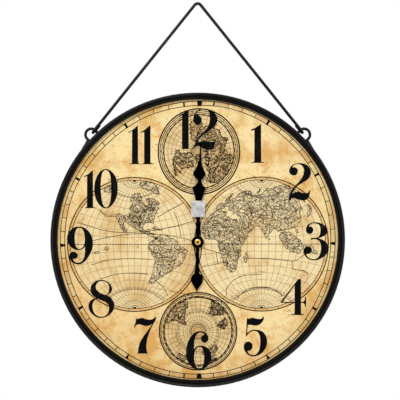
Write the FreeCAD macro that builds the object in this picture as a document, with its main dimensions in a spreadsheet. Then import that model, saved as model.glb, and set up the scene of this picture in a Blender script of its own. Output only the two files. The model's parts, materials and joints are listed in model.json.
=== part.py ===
import FreeCAD, Part
import math
import os
import re
import Sketcher

# Round hanging wall clock with a steel rim, a printed dial, spade hands and a quartz movement.
# Millimetres and degrees. The origin is the point of the wall under which the hanger's bend rests
# on its nail. +X is the viewer's right, the dial faces -Y, +Y goes into the wall and +Z is up.
# A depth is measured from the wall towards the viewer.

SIZES = [
    # Rim
    ("rim_radius", "152.5", "outside of the front bead"),
    ("bezel_width", "6.3", "outside of the bead to the dial that shows"),
    ("drum_inset", "3.9", "outside of the bead to the drum behind it"),
    ("drum_gauge", "0.8", "sheet of the drum and its flange"),
    ("flange_back", "22.7", "depth of the flange's rear face"),
    ("rim_front", "35", "depth of the bead's crest"),
    ("bead_width", "3.2", "width of the rounded bead"),
    ("bezel_gauge", "0.8", "sheet of the bead and of the inner ring"),
    ("ring_recess", "3.5", "inner ring's face behind the bead's crest"),
    # Dial
    ("board_back", "21", "depth of the board's rear face"),
    ("board_thickness", "4", "fibre board"),
    ("board_clearance", "0.3", "board to drum"),
    ("paper_thickness", "0.3", "printed dial"),
    ("paper_margin", "0.2", "paper's edge inside the board's edge"),
    ("stem_clearance", "0.2", "stem to the holes of dial and washers"),
    # Tabs that hold the board from behind
    ("tab_width", "12", "along the drum"),
    ("tab_foot", "11", "towards the centre"),
    ("tab_rise", "12", "along the drum's depth"),
    ("tab_gauge", "1", "sheet of a tab"),
    ("tab_screw_length", "4.2", "shank of a tab's screw"),
    ("tab_screw_diameter", "3", "shank"),
    ("tab_screw_head_diameter", "6", "head"),
    ("tab_screw_head_height", "2", "head"),
    ("screw_clearance", "0.15", "screw to the tab's hole"),
    # Eyes and hanger
    ("eye_wire", "3", "wire of an eye"),
    ("eye_hole", "9.5", "inside diameter of an eye"),
    ("eye_tail", "26", "eye's centre to the end of its tail"),
    ("eye_stub_gap", "1.2", "free end of the eye's loop to its tail"),
    ("seat_gap", "0.05", "eye to the drum and the flange it is brazed to"),
    ("rod_diameter", "3.2", "hanger rod"),
    ("dial_drop", "244.8", "nail to the dial's centre"),
    ("apex_bend_radius", "4", "centre line of the hanger's bend"),
    ("hook_slack", "0.5", "hook to the eye's wire"),
    ("hook_return", "7", "straight end of a hook"),
    # Movement shell
    ("hand_axis_drop", "2.3", "hands' axis below the dial's centre"),
    ("shell_side", "56", "square movement"),
    ("shell_back", "4", "depth of the shell's rear face"),
    ("shell_wall", "1.2", "side walls, front wall and cover"),
    ("shell_corner", "3", "corner radius"),
    ("stem_diameter", "8", "threaded stem"),
    ("stem_past_dial", "2.9", "stem beyond the dial's face"),
    ("rubber_washer_thickness", "1", "shell to board"),
    ("rubber_washer_diameter", "18", "outside"),
    ("brass_washer_thickness", "0.6", "under the stem nut"),
    ("brass_washer_diameter", "12", "outside"),
    ("nut_across_flats", "11", "stem nut"),
    ("nut_thickness", "2", "stem nut"),
    ("cell_bay_height", "15.6", "bay for the cell"),
    ("bay_wall", "1", "wall between the bay and the train"),
    ("pillar_diameter", "3", "pillars under the train bridge"),
    ("pillar_inset", "4", "pillar's axis from the shell's outside"),
    ("bridge_front", "13.6", "depth of the bridge's front face"),
    ("bridge_thickness", "1", "train bridge"),
    ("bridge_clearance", "0.3", "bridge to the shell's walls"),
    ("running_clearance", "0.05", "arbor to its hole, radial"),
    # Hands and their arbors
    ("hand_gauge", "0.6", "sheet of the hands"),
    ("hour_hand_back", "29.1", "depth of the hour hand's rear face"),
    ("minute_hand_back", "30.8", "depth of the minute hand's rear face"),
    ("hour_hand_length", "49.6", "axis to tip"),
    ("hour_hand_head", "12.4", "widest part of the hour hand"),
    ("minute_hand_length", "103", "axis to tip"),
    ("minute_hand_head", "13.2", "widest part of the minute hand"),
    ("hand_boss_diameter", "12.8", "round boss of each hand"),
    ("hour_tube_diameter", "5", "outside of the hour wheel's tube"),
    ("minute_tube_diameter", "3.2", "outside of the minute tube"),
    ("minute_thread_diameter", "2.8", "end that takes the hand nut"),
    ("second_arbor_diameter", "1", "innermost arbor"),
    ("tube_past_hand", "0.4", "hour tube beyond the hour hand"),
    ("hour_collet_diameter", "7.5", "bush riveted in the hour hand"),
    ("collet_flange", "0.6", "bush's flange behind the hour hand"),
    ("hand_nut_diameter", "7.1", "round open nut"),
    ("hand_nut_height", "2.6", "round open nut"),
    ("hand_nut_lip", "1.2", "height of its knurled part"),
    ("hand_nut_neck_diameter", "5.6", "raised middle of the nut"),
    ("hand_nut_hole_diameter", "1.8", "hole over the innermost arbor"),
    ("hand_nut_cap", "0.5", "thickness round that hole"),
    ("tab_film_width", "14.5", "shipping film on the minute hand"),
    ("tab_film_height", "16.8", "shipping film on the minute hand"),
    ("tab_film_thickness", "0.25", "shipping film"),
    ("tab_film_station", "34.5", "hands' axis to the film's middle"),
    ("tab_film_shift", "0.5", "film's middle right of the hands' axis"),
    # Wheels
    ("motion_centres", "10.8", "hands' axis to the motion wheel's"),
    ("third_centres", "10.2", "hands' axis to the third wheel's"),
    ("intermediate_centres", "10.2", "hands' axis to the intermediate wheel's"),
    ("rotor_centres", "6", "intermediate wheel's axis to the rotor's"),
    ("wheel_gauge", "0.8", "wheels of the train"),
    ("motion_gauge", "1.2", "wheels of the motion work"),
    ("train_arbor_diameter", "0.8", "arbors of the train"),
    ("motion_arbor_diameter", "1.6", "motion wheel's arbor"),
    ("pivot_depth", "0.7", "arbor's end in the cover or the front wall"),
    ("second_wheel_back", "6.8", "depth of its rear face"),
    ("third_wheel_back", "8.2", "depth of its rear face"),
    ("intermediate_wheel_back", "8.4", "depth of its rear face"),
    ("centre_wheel_back", "10.4", "depth of its rear face"),
    ("cannon_back", "14.6", "depth of the cannon pinion's rear face"),
    ("hour_wheel_back", "16.6", "depth of its rear face"),
    ("level_gap", "0.3", "one level of the train to the next"),
    ("knob_diameter", "9", "setting knob"),
    ("knob_back", "1.2", "depth of the knob's rear face"),
    ("knob_height", "2.4", "setting knob"),
    # Motor
    ("magnet_diameter", "6", "rotor magnet"),
    ("magnet_back", "10", "depth of its rear face"),
    ("magnet_height", "2.3", "rotor magnet"),
    ("stator_gauge", "0.8", "stator and coil core"),
    ("stator_air_gap", "0.5", "stator to magnet"),
    ("stator_left", "6.4", "right of the hands' axis"),
    ("stator_right", "25", "right of the hands' axis"),
    ("stator_leg", "3.4", "width of a leg"),
    ("stator_bar", "10", "height of the bar round the rotor"),
    ("stator_top", "24", "above the hands' axis"),
    ("core_height", "4", "coil core"),
    ("core_line", "21", "core's middle above the hands' axis"),
    ("coil_diameter", "7.6", "winding"),
    ("bobbin_diameter", "8.4", "bobbin's cheeks"),
    ("bobbin_cheek", "0.8", "thickness of a cheek"),
    ("bobbin_wall", "0.6", "bobbin round the core"),
    ("bobbin_clearance", "0.2", "bobbin to the stator's legs"),
    # Circuit
    ("circuit_width", "20", "circuit board"),
    ("circuit_height", "10", "circuit board"),
    ("circuit_gauge", "1", "circuit board"),
    ("crystal_diameter", "2", "quartz crystal's can"),
    ("crystal_length", "6", "quartz crystal's can"),
    ("chip_diameter", "5", "cap over the chip"),
    ("chip_height", "1.2", "cap over the chip"),
    # Cell and contacts
    ("cell_diameter", "14.5", "AA cell"),
    ("cell_length", "50.5", "AA cell with its nub"),
    ("cell_nub_diameter", "5.5", "positive end"),
    ("cell_nub_height", "1", "positive end"),
    ("cell_sleeve_gauge", "0.2", "sleeve round the can"),
    ("cell_end_rim", "0.6", "can that shows past the sleeve"),
    ("contact_gauge", "0.4", "contact strip"),
    ("contact_width", "8", "contact strip"),
    ("contact_height", "11", "contact strip along the depth"),
    ("contact_clearance", "0.3", "contact to cell"),
    # One overrun serves all cuts
    ("overrun", "1", "cut past a face"),
]

TAB_COUNT = 6
TAB_START_DEG = 30
EYE_SIDE_DEG = 45.4
EYE_TAIL_DEG = 240
MOTION_DEG = 0
THIRD_DEG = 170
INTERMEDIATE_DEG = 60
ROTOR_DEG = 10
HOUR_HAND_DEG = 181.1
MINUTE_HAND_DEG = 1.3

CANNON_TEETH = 12
MOTION_WHEEL_TEETH = 36
MOTION_PINION_TEETH = 10
HOUR_TEETH = 40
TRAIN_PINION_TEETH = 8
SECOND_TEETH = 48
THIRD_TEETH = 60
CENTRE_TEETH = 64
INTERMEDIATE_TEETH = 40

# Shape of a tooth: heights as shares of the module, widths as shares of the pitch.
ADDENDUM_SHARE = 0.8
DEDENDUM_SHARE = 1.15
TIP_WIDTH_SHARE = 0.2
ROOT_WIDTH_SHARE = 0.58

BEAD_ROUND_SHARE = 0.45
RING_ROUND_SHARE = 0.9
NUT_CHAMFER_SHARE = 0.1
SCREW_ROUND_SHARE = 0.5
KNOB_CHAMFER_SHARE = 0.25
CHIP_ROUND_SHARE = 0.8
CRYSTAL_SHARES = (0.12, 0.25)
CHIP_SHARES = (0.75, 0.5)

# Half outlines of the hands from boss to tip: how far along the hand, and how wide as a share of
# half its widest part. Each row is one run, drawn as a smooth curve between two corners.
MINUTE_RUN_SHARES = [
    [(0.045, 0.20), (0.17, 0.21)],
    [(0.17, 0.21), (0.24, 0.32), (0.42, 0.45), (0.46, 0.58), (0.505, 0.76), (0.547, 1.0)],
    [(0.547, 1.0), (0.567, 0.62), (0.583, 0.36), (0.605, 0.235), (0.632, 0.235)],
    [(0.632, 0.235), (0.641, 0.43), (0.66, 0.71), (0.683, 0.87), (0.713, 0.75), (0.741, 0.55), (0.779, 0.31)],
    [(0.779, 0.31), (0.803, 0.195), (0.853, 0.12), (0.92, 0.09), (1.0, 0.06)],
]
HOUR_RUN_SHARES = [
    [(0.09, 0.23), (0.45, 0.23)],
    [(0.45, 0.23), (0.56, 0.29), (0.60, 0.335), (0.65, 0.29)],
    [(0.65, 0.29), (0.665, 0.46), (0.683, 0.71)],
    [(0.683, 0.71), (0.767, 1.0)],
    [(0.767, 1.0), (0.845, 0.80), (0.905, 0.46), (0.955, 0.15), (1.0, 0.02)],
]

# Derived sizes
DIAL_Z = "(-dial_drop)"
AXIS_Z = "(-dial_drop - hand_axis_drop)"
OPENING_RADIUS = "(rim_radius - bezel_width)"
DRUM_RADIUS = "(rim_radius - drum_inset)"
BOARD_FRONT = "(board_back + board_thickness)"
DIAL_FACE = "(board_back + board_thickness + paper_thickness)"
FLANGE_FRONT = "(flange_back + drum_gauge)"
DRUM_BORE = f"({DRUM_RADIUS} - drum_gauge)"
BOARD_RADIUS = f"({DRUM_BORE} - board_clearance)"
BEAD_INSIDE = "(rim_radius - bead_width)"
TAB_PITCH_RADIUS = f"({DRUM_BORE} - tab_gauge - (tab_foot - tab_gauge) / 2)"
EYE_MEAN_RADIUS = "((eye_hole + eye_wire) / 2)"
EYE_REACH = f"({DRUM_RADIUS} + seat_gap + eye_hole / 2 + eye_wire)"
EYE_DEPTH = "(flange_back - seat_gap - eye_wire / 2)"
SHELL_FRONT = "(board_back - rubber_washer_thickness)"
SHELL_FLOOR = "(board_back - rubber_washer_thickness - shell_wall)"
SHELL_INSIDE = "(shell_side / 2 - shell_wall)"
COVER_FRONT = "(shell_back + shell_wall)"
BAY_TOP = "(shell_wall + cell_bay_height - shell_side / 2)"
TRAIN_FLOOR = "(shell_wall + cell_bay_height + bay_wall - shell_side / 2)"
STEM_TIP = "(board_back + board_thickness + paper_thickness + stem_past_dial)"
STEM_HOLE = "(stem_diameter / 2 + stem_clearance)"
BRIDGE_BACK = "(bridge_front - bridge_thickness)"
PILLAR_X = "(shell_side / 2 - pillar_inset)"
PILLAR_LOW = "(cell_bay_height + bay_wall + pillar_inset - shell_side / 2)"
CELL_Z = "(shell_wall + cell_bay_height / 2 - shell_side / 2)"
CELL_DEPTH = "(shell_back + (board_back - rubber_washer_thickness - shell_wall - shell_back) / 2)"

DOC = FreeCAD.newDocument("world_time_clock")
SHEET = DOC.addObject("Spreadsheet::Sheet", "Sizes")
NODES = []


def fill_sheet():
    for row, (alias, value, meaning) in enumerate(SIZES, start=1):
        SHEET.set(f"A{row}", alias)
        SHEET.set(f"B{row}", value)
        SHEET.set(f"C{row}", meaning)
        SHEET.setAlias(f"B{row}", alias)
    DOC.recompute()


def bound(expression):
    """Point every size named in an expression at its cell in the sheet."""
    names = {alias for alias, _, _ in SIZES}
    return re.sub(r"[a-z_]+", lambda word: "Sizes." + word[0] if word[0] in names else word[0], expression)


def mm(expression):
    """The value of an expression of sizes."""
    return float(SHEET.evalExpression(expression))


def spread(expression, angle_deg, side):
    """An expression of a size turned to its X or Z share at an angle from +X towards +Z."""
    turn = math.cos if side == "x" else math.sin
    return f"({expression} * {turn(math.radians(angle_deg)):.9f})"


MOTION_X = spread("motion_centres", MOTION_DEG, "x")
MOTION_Z = spread("motion_centres", MOTION_DEG, "z")
THIRD_X = spread("third_centres", THIRD_DEG, "x")
THIRD_Z = spread("third_centres", THIRD_DEG, "z")
INTERMEDIATE_X = spread("intermediate_centres", INTERMEDIATE_DEG, "x")
INTERMEDIATE_Z = spread("intermediate_centres", INTERMEDIATE_DEG, "z")
ROTOR_X = "(" + INTERMEDIATE_X + " + " + spread("rotor_centres", ROTOR_DEG, "x") + ")"
ROTOR_Z = "(" + INTERMEDIATE_Z + " + " + spread("rotor_centres", ROTOR_DEG, "z") + ")"


# Tools for bodies, sketches and features

def place(item, x, z):
    """Bind where an object's own origin stands in the wall plane."""
    if x != "0":
        item.setExpression("Placement.Base.x", bound(x))
    item.setExpression("Placement.Base.z", bound(z))


def new_body(label, x="0", z=DIAL_Z):
    body = DOC.addObject("PartDesign::Body", label)
    body.Label = label
    place(body, x, z)
    NODES.append(body)
    return body


def sketch_on(body, role, depth="0"):
    """A sketch on one of the body's own planes, moved forward to a depth from the wall."""
    sketch = body.newObject("Sketcher::SketchObject", body.Name + "_outline")
    plane = next(item for item in body.Origin.OriginFeatures if item.Role == role)
    sketch.AttachmentSupport = [(plane, "")]
    sketch.MapMode = "FlatFace"
    if depth != "0":
        sketch.setExpression("AttachmentOffset.Base.z", bound(depth))
    return sketch


def fix(sketch, kind, edge, end, expression):
    """Bind one coordinate of a point of a sketch to an expression of sizes."""
    value = mm(expression)
    if abs(value) < 1e-9:
        axis = -2 if kind == "DistanceX" else -1
        sketch.addConstraint(Sketcher.Constraint("PointOnObject", edge, end, axis))
        return
    number = sketch.addConstraint(Sketcher.Constraint(kind, -1, 1, edge, end, value))
    sketch.setExpression(f"Constraints[{number}]", bound(expression))


def draw_polygon(sketch, points):
    """A closed outline of straight edges through points given as expressions."""
    first = sketch.GeometryCount
    corners = [FreeCAD.Vector(mm(x), mm(y), 0) for x, y in points]
    count = len(points)
    for step in range(count):
        sketch.addGeometry(Part.LineSegment(corners[step], corners[(step + 1) % count]))
    for step in range(count):
        join = Sketcher.Constraint("Coincident", first + step, 2, first + (step + 1) % count, 1)
        sketch.addConstraint(join)
    for step, (x, y) in enumerate(points):
        fix(sketch, "DistanceX", first + step, 1, x)
        fix(sketch, "DistanceY", first + step, 1, y)


def draw_box(sketch, left, right, bottom, top):
    draw_polygon(sketch, [(left, bottom), (right, bottom), (right, top), (left, top)])


def draw_circle(sketch, radius, x="0", y="0"):
    edge = sketch.addGeometry(
        Part.Circle(FreeCAD.Vector(mm(x), mm(y), 0), FreeCAD.Vector(0, 0, 1), mm(radius)))
    fix(sketch, "DistanceX", edge, 3, x)
    fix(sketch, "DistanceY", edge, 3, y)
    number = sketch.addConstraint(Sketcher.Constraint("Radius", edge, mm(radius)))
    sketch.setExpression(f"Constraints[{number}]", bound(radius))


def pad(body, sketch, length):
    """Extrude a sketch towards the viewer."""
    feature = body.newObject("PartDesign::Pad", body.Name + "_pad")
    feature.Profile = sketch
    feature.setExpression("Length", bound(length))
    DOC.recompute()
    return feature


def pocket(body, sketch, length):
    """Cut a sketch towards the wall, and stop if nothing was cut."""
    before = body.Shape.Volume
    feature = body.newObject("PartDesign::Pocket", body.Name + "_pocket")
    feature.Profile = sketch
    feature.setExpression("Length", bound(length))
    DOC.recompute()
    if not body.Shape.Volume < before:
        raise RuntimeError(f"{feature.Name} cuts nothing")
    return feature


def turn(body, profile):
    """Revolve a profile of (radius, depth) corners about the body's own axis through the dial."""
    sketch = sketch_on(body, "XY_Plane")
    draw_polygon(sketch, [(radius, f"-({depth})") for radius, depth in profile])
    feature = body.newObject("PartDesign::Revolution", body.Name + "_revolution")
    feature.Profile = sketch
    feature.ReferenceAxis = (sketch, ["V_Axis"])
    feature.Angle = 360
    DOC.recompute()
    return feature


def dress(body, kind, base, chosen, size_name, size):
    """A fillet or a chamfer on the edges that a test picks out."""
    edges = [f"Edge{n}" for n, edge in enumerate(base.Shape.Edges, start=1) if chosen(edge)]
    feature = body.newObject("PartDesign::" + kind, body.Name + "_" + kind.lower())
    feature.Base = (base, edges)
    feature.setExpression(size_name, bound(size))
    DOC.recompute()
    return feature


def round_edge_at(depth, radii):
    """A test for full circles at a depth whose radius is one of those given."""
    level = -mm(depth)
    wanted = [mm(radius) for radius in radii]

    def test(edge):
        circle = edge.Curve
        if not isinstance(circle, Part.Circle) or abs(edge.BoundBox.Center.y - level) > 1e-6:
            return False
        return any(abs(circle.Radius - radius) < 1e-6 for radius in wanted)

    return test


def corner_edge(edge):
    """A test for straight edges that run from front to back."""
    box = edge.BoundBox
    return box.YLength > 1e-6 and box.XLength < 1e-6 and box.ZLength < 1e-6


# Tools for shapes made in code

def add_shape(label, shape, x="0", z=DIAL_Z):
    feature = DOC.addObject("Part::Feature", label)
    feature.Label = label
    feature.Shape = shape
    place(feature, x, z)
    NODES.append(feature)
    return feature


def at(x, depth, z):
    """A point given by its place on the dial and its depth from the wall."""
    return FreeCAD.Vector(x, -depth, z)


def disc(radius, back, front, hole=0):
    """A round plate or tube about the piece's own axis."""
    plate = Part.makeCylinder(radius, front - back, at(0, back, 0), FreeCAD.Vector(0, -1, 0))
    if hole:
        bore = Part.makeCylinder(hole, front - back, at(0, back, 0), FreeCAD.Vector(0, -1, 0))
        plate = plate.cut(bore)
    return plate


def block(left, right, bottom, top, back, front):
    return Part.makeBox(right - left, front - back, top - bottom, at(left, front, bottom))


def polar(radius, turn_rad):
    return radius * math.cos(turn_rad), radius * math.sin(turn_rad)


def toothed(teeth, module, facing_deg, tooth_faces, back, front):
    """A gear rim with straight-flanked teeth. A tooth, or else a gap, faces the given angle."""
    pitch = 2 * math.pi / teeth
    start = math.radians(facing_deg) + (0 if tooth_faces else pitch / 2)
    tip = module * (teeth / 2 + ADDENDUM_SHARE)
    root = module * (teeth / 2 - DEDENDUM_SHARE)
    corners = []
    for tooth in range(teeth):
        middle = start + tooth * pitch
        for radius, side in (
            (root, -ROOT_WIDTH_SHARE),
            (tip, -TIP_WIDTH_SHARE),
            (tip, TIP_WIDTH_SHARE),
            (root, ROOT_WIDTH_SHARE),
        ):
            x, z = polar(radius, middle + side * pitch / 2)
            corners.append(at(x, back, z))
    outline = Part.makePolygon(corners + corners[:1])
    return Part.Face(outline).extrude(FreeCAD.Vector(0, back - front, 0))


def fused(*shapes):
    """One solid out of the pieces of a turned part."""
    whole = shapes[0].multiFuse(list(shapes[1:]))
    return whole.removeSplitter()


def module_of(centres, teeth, other_teeth):
    return 2 * mm(centres) / (teeth + other_teeth)


def mirrored_outline(runs, length, half_width, back):
    """The closed outline of a hand that points up, from the runs of its right half."""
    edges = []
    for side, order in ((1, runs), (-1, runs[::-1])):
        for run in order:
            points = [at(side * wide * half_width, back, along * length) for along, wide in run]
            if side < 0:
                points.reverse()
            if len(points) == 2:
                edges.append(Part.makeLine(points[0], points[1]))
            else:
                curve = Part.BSplineCurve()
                curve.interpolate(points)
                edges.append(curve.toShape())
        if side > 0:
            tip = runs[-1][-1]
            edges.append(Part.makeLine(
                at(tip[1] * half_width, back, tip[0] * length),
                at(-tip[1] * half_width, back, tip[0] * length)))
    boss = runs[0][0]
    edges.append(Part.makeLine(
        at(-boss[1] * half_width, back, boss[0] * length),
        at(boss[1] * half_width, back, boss[0] * length)))
    return Part.Wire(Part.__sortEdges__(edges))


# Rim: a drum with a flange, a rounded front bead and a recessed inner ring

def build_rim():
    drum = new_body("rim_drum")
    turn(drum, [
        (DRUM_BORE, "0"),
        (DRUM_RADIUS, "0"),
        (DRUM_RADIUS, "flange_back"),
        ("rim_radius - bezel_gauge / 2", "flange_back"),
        ("rim_radius - bezel_gauge / 2", FLANGE_FRONT),
        (DRUM_BORE, FLANGE_FRONT),
    ])

    bead = new_body("bezel_bead")
    base = turn(bead, [
        ("rim_radius - bezel_gauge", FLANGE_FRONT),
        ("rim_radius", FLANGE_FRONT),
        ("rim_radius", "rim_front"),
        (BEAD_INSIDE, "rim_front"),
        (BEAD_INSIDE, FLANGE_FRONT),
        (f"{BEAD_INSIDE} + bezel_gauge", FLANGE_FRONT),
        (f"{BEAD_INSIDE} + bezel_gauge", "rim_front - bezel_gauge"),
        ("rim_radius - bezel_gauge", "rim_front - bezel_gauge"),
    ])
    crest = round_edge_at("rim_front", ["rim_radius", BEAD_INSIDE])
    dress(bead, "Fillet", base, crest, "Radius", f"bead_width * {BEAD_ROUND_SHARE}")

    ring = new_body("bezel_ring")
    ring_face = "(rim_front - ring_recess)"
    base = turn(ring, [
        (OPENING_RADIUS, DIAL_FACE),
        (OPENING_RADIUS, ring_face),
        (BEAD_INSIDE, ring_face),
        (BEAD_INSIDE, FLANGE_FRONT),
        (f"{BEAD_INSIDE} - bezel_gauge", FLANGE_FRONT),
        (f"{BEAD_INSIDE} - bezel_gauge", f"{ring_face} - bezel_gauge"),
        (f"{OPENING_RADIUS} + bezel_gauge", f"{ring_face} - bezel_gauge"),
        (f"{OPENING_RADIUS} + bezel_gauge", DIAL_FACE),
    ])
    inner_corner = round_edge_at(ring_face, [OPENING_RADIUS])
    dress(ring, "Fillet", base, inner_corner, "Radius", f"bezel_gauge * {RING_ROUND_SHARE}")


# Dial: a fibre board, its printed paper, and the tabs and screws that hold it in the drum

def build_dial():
    board = new_body("dial_board")
    sketch = sketch_on(board, "XZ_Plane", "board_back")
    draw_circle(sketch, BOARD_RADIUS)
    draw_circle(sketch, STEM_HOLE, "0", "-hand_axis_drop")
    pad(board, sketch, "board_thickness")
    screw_hole = sketch_on(board, "XZ_Plane", "board_back + tab_screw_length - tab_gauge")
    draw_circle(screw_hole, "tab_screw_diameter / 2",
                spread(TAB_PITCH_RADIUS, TAB_START_DEG, "x"), spread(TAB_PITCH_RADIUS, TAB_START_DEG, "z"))
    hole = pocket(board, screw_hole, "tab_screw_length - tab_gauge + overrun")
    pattern = board.newObject("PartDesign::PolarPattern", "dial_board_screw_holes")
    pattern.Originals = [hole]
    pattern.Axis = (screw_hole, ["N_Axis"])
    pattern.Angle = 360
    pattern.Occurrences = TAB_COUNT
    board.Tip = pattern

    paper = new_body("dial_paper")
    sketch = sketch_on(paper, "XZ_Plane", BOARD_FRONT)
    draw_circle(sketch, f"{BOARD_RADIUS} - paper_margin")
    draw_circle(sketch, STEM_HOLE, "0", "-hand_axis_drop")
    pad(paper, sketch, "paper_thickness")

    tabs = []
    screws = []
    bore = mm(DRUM_BORE)
    gauge = mm("tab_gauge")
    board_back = mm("board_back")
    profile = Part.makePolygon([
        at(radius, depth, 0) for radius, depth in (
            (bore - mm("tab_foot"), board_back),
            (bore, board_back),
            (bore, board_back - mm("tab_rise")),
            (bore - gauge, board_back - mm("tab_rise")),
            (bore - gauge, board_back - gauge),
            (bore - mm("tab_foot"), board_back - gauge),
            (bore - mm("tab_foot"), board_back),
        )
    ])
    width_deg = math.degrees(mm("tab_width") / bore)
    sector = Part.Face(profile).revolve(FreeCAD.Vector(0, 0, 0), FreeCAD.Vector(0, 1, 0), width_deg)
    sector.rotate(FreeCAD.Vector(0, 0, 0), FreeCAD.Vector(0, 1, 0), -width_deg / 2)
    screw_place = at(mm(TAB_PITCH_RADIUS), 0, 0)
    shank = mm("tab_screw_diameter / 2")
    clear = disc(mm("tab_screw_diameter / 2 + screw_clearance"), board_back - 2 * gauge, board_back)
    clear.translate(screw_place)
    tab = sector.cut(clear)
    head_front = board_back - gauge
    head = disc(mm("tab_screw_head_diameter / 2"), head_front - mm("tab_screw_head_height"), head_front)
    rear_rim = max(head.Edges, key=lambda edge: edge.BoundBox.Center.y)
    head = head.makeFillet(mm("tab_screw_head_height") * SCREW_ROUND_SHARE, [rear_rim])
    screw = fused(head, disc(shank, head_front, head_front + mm("tab_screw_length")))
    screw.translate(screw_place)
    for number in range(TAB_COUNT):
        angle = -TAB_START_DEG - number * 360 / TAB_COUNT
        for group, piece in ((tabs, tab), (screws, screw)):
            copy = piece.copy()
            copy.rotate(FreeCAD.Vector(0, 0, 0), FreeCAD.Vector(0, 1, 0), angle)
            group.append(copy)
    add_shape("board_tabs", Part.makeCompound(tabs))
    add_shape("tab_screws", Part.makeCompound(screws))


# Eyes: a bent wire loop on each side with a tail brazed along the back of the flange

def build_eye(label, side):
    """One eye. side is -1 on the viewer's left and 1 on the right."""
    mean = mm(EYE_MEAN_RADIUS)
    tail_angle = math.radians(EYE_TAIL_DEG)
    gap_deg = math.degrees((mm("eye_wire") + mm("eye_stub_gap")) / mean)

    loop = DOC.addObject("Part::Torus", label + "_loop")
    loop.setExpression("Radius1", bound(EYE_MEAN_RADIUS))
    loop.setExpression("Radius2", bound("eye_wire / 2"))
    loop.Angle3 = 360 - gap_deg
    stand_up = FreeCAD.Rotation(FreeCAD.Vector(1, 0, 0), 90)
    turn_round = FreeCAD.Rotation(FreeCAD.Vector(0, 1, 0), 360 - gap_deg - EYE_TAIL_DEG)
    loop.Placement.Rotation = turn_round * stand_up
    end_x, end_z = polar(mean, tail_angle)

    knuckle = DOC.addObject("Part::Sphere", label + "_knuckle")
    knuckle.setExpression("Radius", bound("eye_wire / 2"))
    knuckle.Placement.Base = FreeCAD.Vector(end_x, 0, end_z)

    tail = DOC.addObject("Part::Cylinder", label + "_tail")
    tail.setExpression("Radius", bound("eye_wire / 2"))
    tail.setExpression("Height", bound(f"eye_tail - {EYE_MEAN_RADIUS}"))
    direction = FreeCAD.Vector(math.cos(tail_angle), 0, math.sin(tail_angle))
    tail.Placement = FreeCAD.Placement(
        FreeCAD.Vector(end_x, 0, end_z), FreeCAD.Rotation(FreeCAD.Vector(0, 0, 1), direction))
    DOC.recompute()

    whole = fused(loop.Shape, knuckle.Shape, tail.Shape)
    if side > 0:
        whole = whole.mirror(FreeCAD.Vector(0, 0, 0), FreeCAD.Vector(1, 0, 0))
    eye = add_shape(label, whole, spread(EYE_REACH, 90 - side * EYE_SIDE_DEG, "x"),
                    DIAL_Z + " + " + spread(EYE_REACH, 90 - side * EYE_SIDE_DEG, "z"))
    eye.setExpression("Placement.Base.y", bound(f"-{EYE_DEPTH}"))
    for helper in (loop, knuckle, tail):
        DOC.removeObject(helper.Name)


# Hanger: one bent rod with a hook at each end

def hanger_lines():
    """The eye's centre, the arm's direction and the bend's centre, for the left arm."""
    eye_x, eye_z = polar(mm(EYE_REACH), math.radians(90 + EYE_SIDE_DEG))
    eye_z -= mm("dial_drop")
    bend = mm("apex_bend_radius")
    bend_z = mm("rod_diameter / 2") - bend
    across, up = -eye_x, bend_z - eye_z
    slope = math.atan2(up, across) + math.asin(bend / math.hypot(across, up))
    return eye_x, eye_z, slope, bend_z


def build_hanger():
    eye_x, eye_z, slope, bend_z = hanger_lines()
    bend = mm("apex_bend_radius")
    mean = mm(EYE_MEAN_RADIUS)
    eye_depth = mm(EYE_DEPTH)
    hook = mm("rod_diameter / 2 + eye_wire / 2 + hook_slack")
    rod_depth = eye_depth + hook
    ux, uz = math.cos(slope), math.sin(slope)
    seat_x, seat_z = eye_x + mean * ux, eye_z + mean * uz
    end = mm("hook_return")
    shoulder_x, shoulder_z = -bend * uz, bend_z + bend * ux

    left = [
        at(seat_x + end * ux, eye_depth - hook, seat_z + end * uz),
        at(seat_x, eye_depth - hook, seat_z),
        at(seat_x - hook * ux, eye_depth, seat_z - hook * uz),
        at(seat_x, rod_depth, seat_z),
        at(shoulder_x, rod_depth, shoulder_z),
    ]
    right = [FreeCAD.Vector(-point.x, point.y, point.z) for point in reversed(left)]
    top = at(0, rod_depth, bend_z + bend)
    edges = [
        Part.makeLine(left[0], left[1]),
        Part.Arc(left[1], left[2], left[3]).toShape(),
        Part.makeLine(left[3], left[4]),
        Part.Arc(left[4], top, right[0]).toShape(),
        Part.makeLine(right[0], right[1]),
        Part.Arc(right[1], right[2], right[3]).toShape(),
        Part.makeLine(right[3], right[4]),
    ]
    path = Part.Wire(edges)
    radius = mm("rod_diameter / 2")
    along = left[1] - left[0]
    section = Part.Wire(Part.makeCircle(radius, left[0], along))
    rod = path.makePipeShell([section], True, False)
    expected = math.pi * radius ** 2 * path.Length
    if abs(rod.Volume - expected) > 0.01 * expected:
        raise RuntimeError("the hanger rod's volume does not match its length")
    add_shape("hanger_rod", rod, "0", "0")


# Movement shell: a square case with the threaded stem, a cover and the bridge of the train

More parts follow.
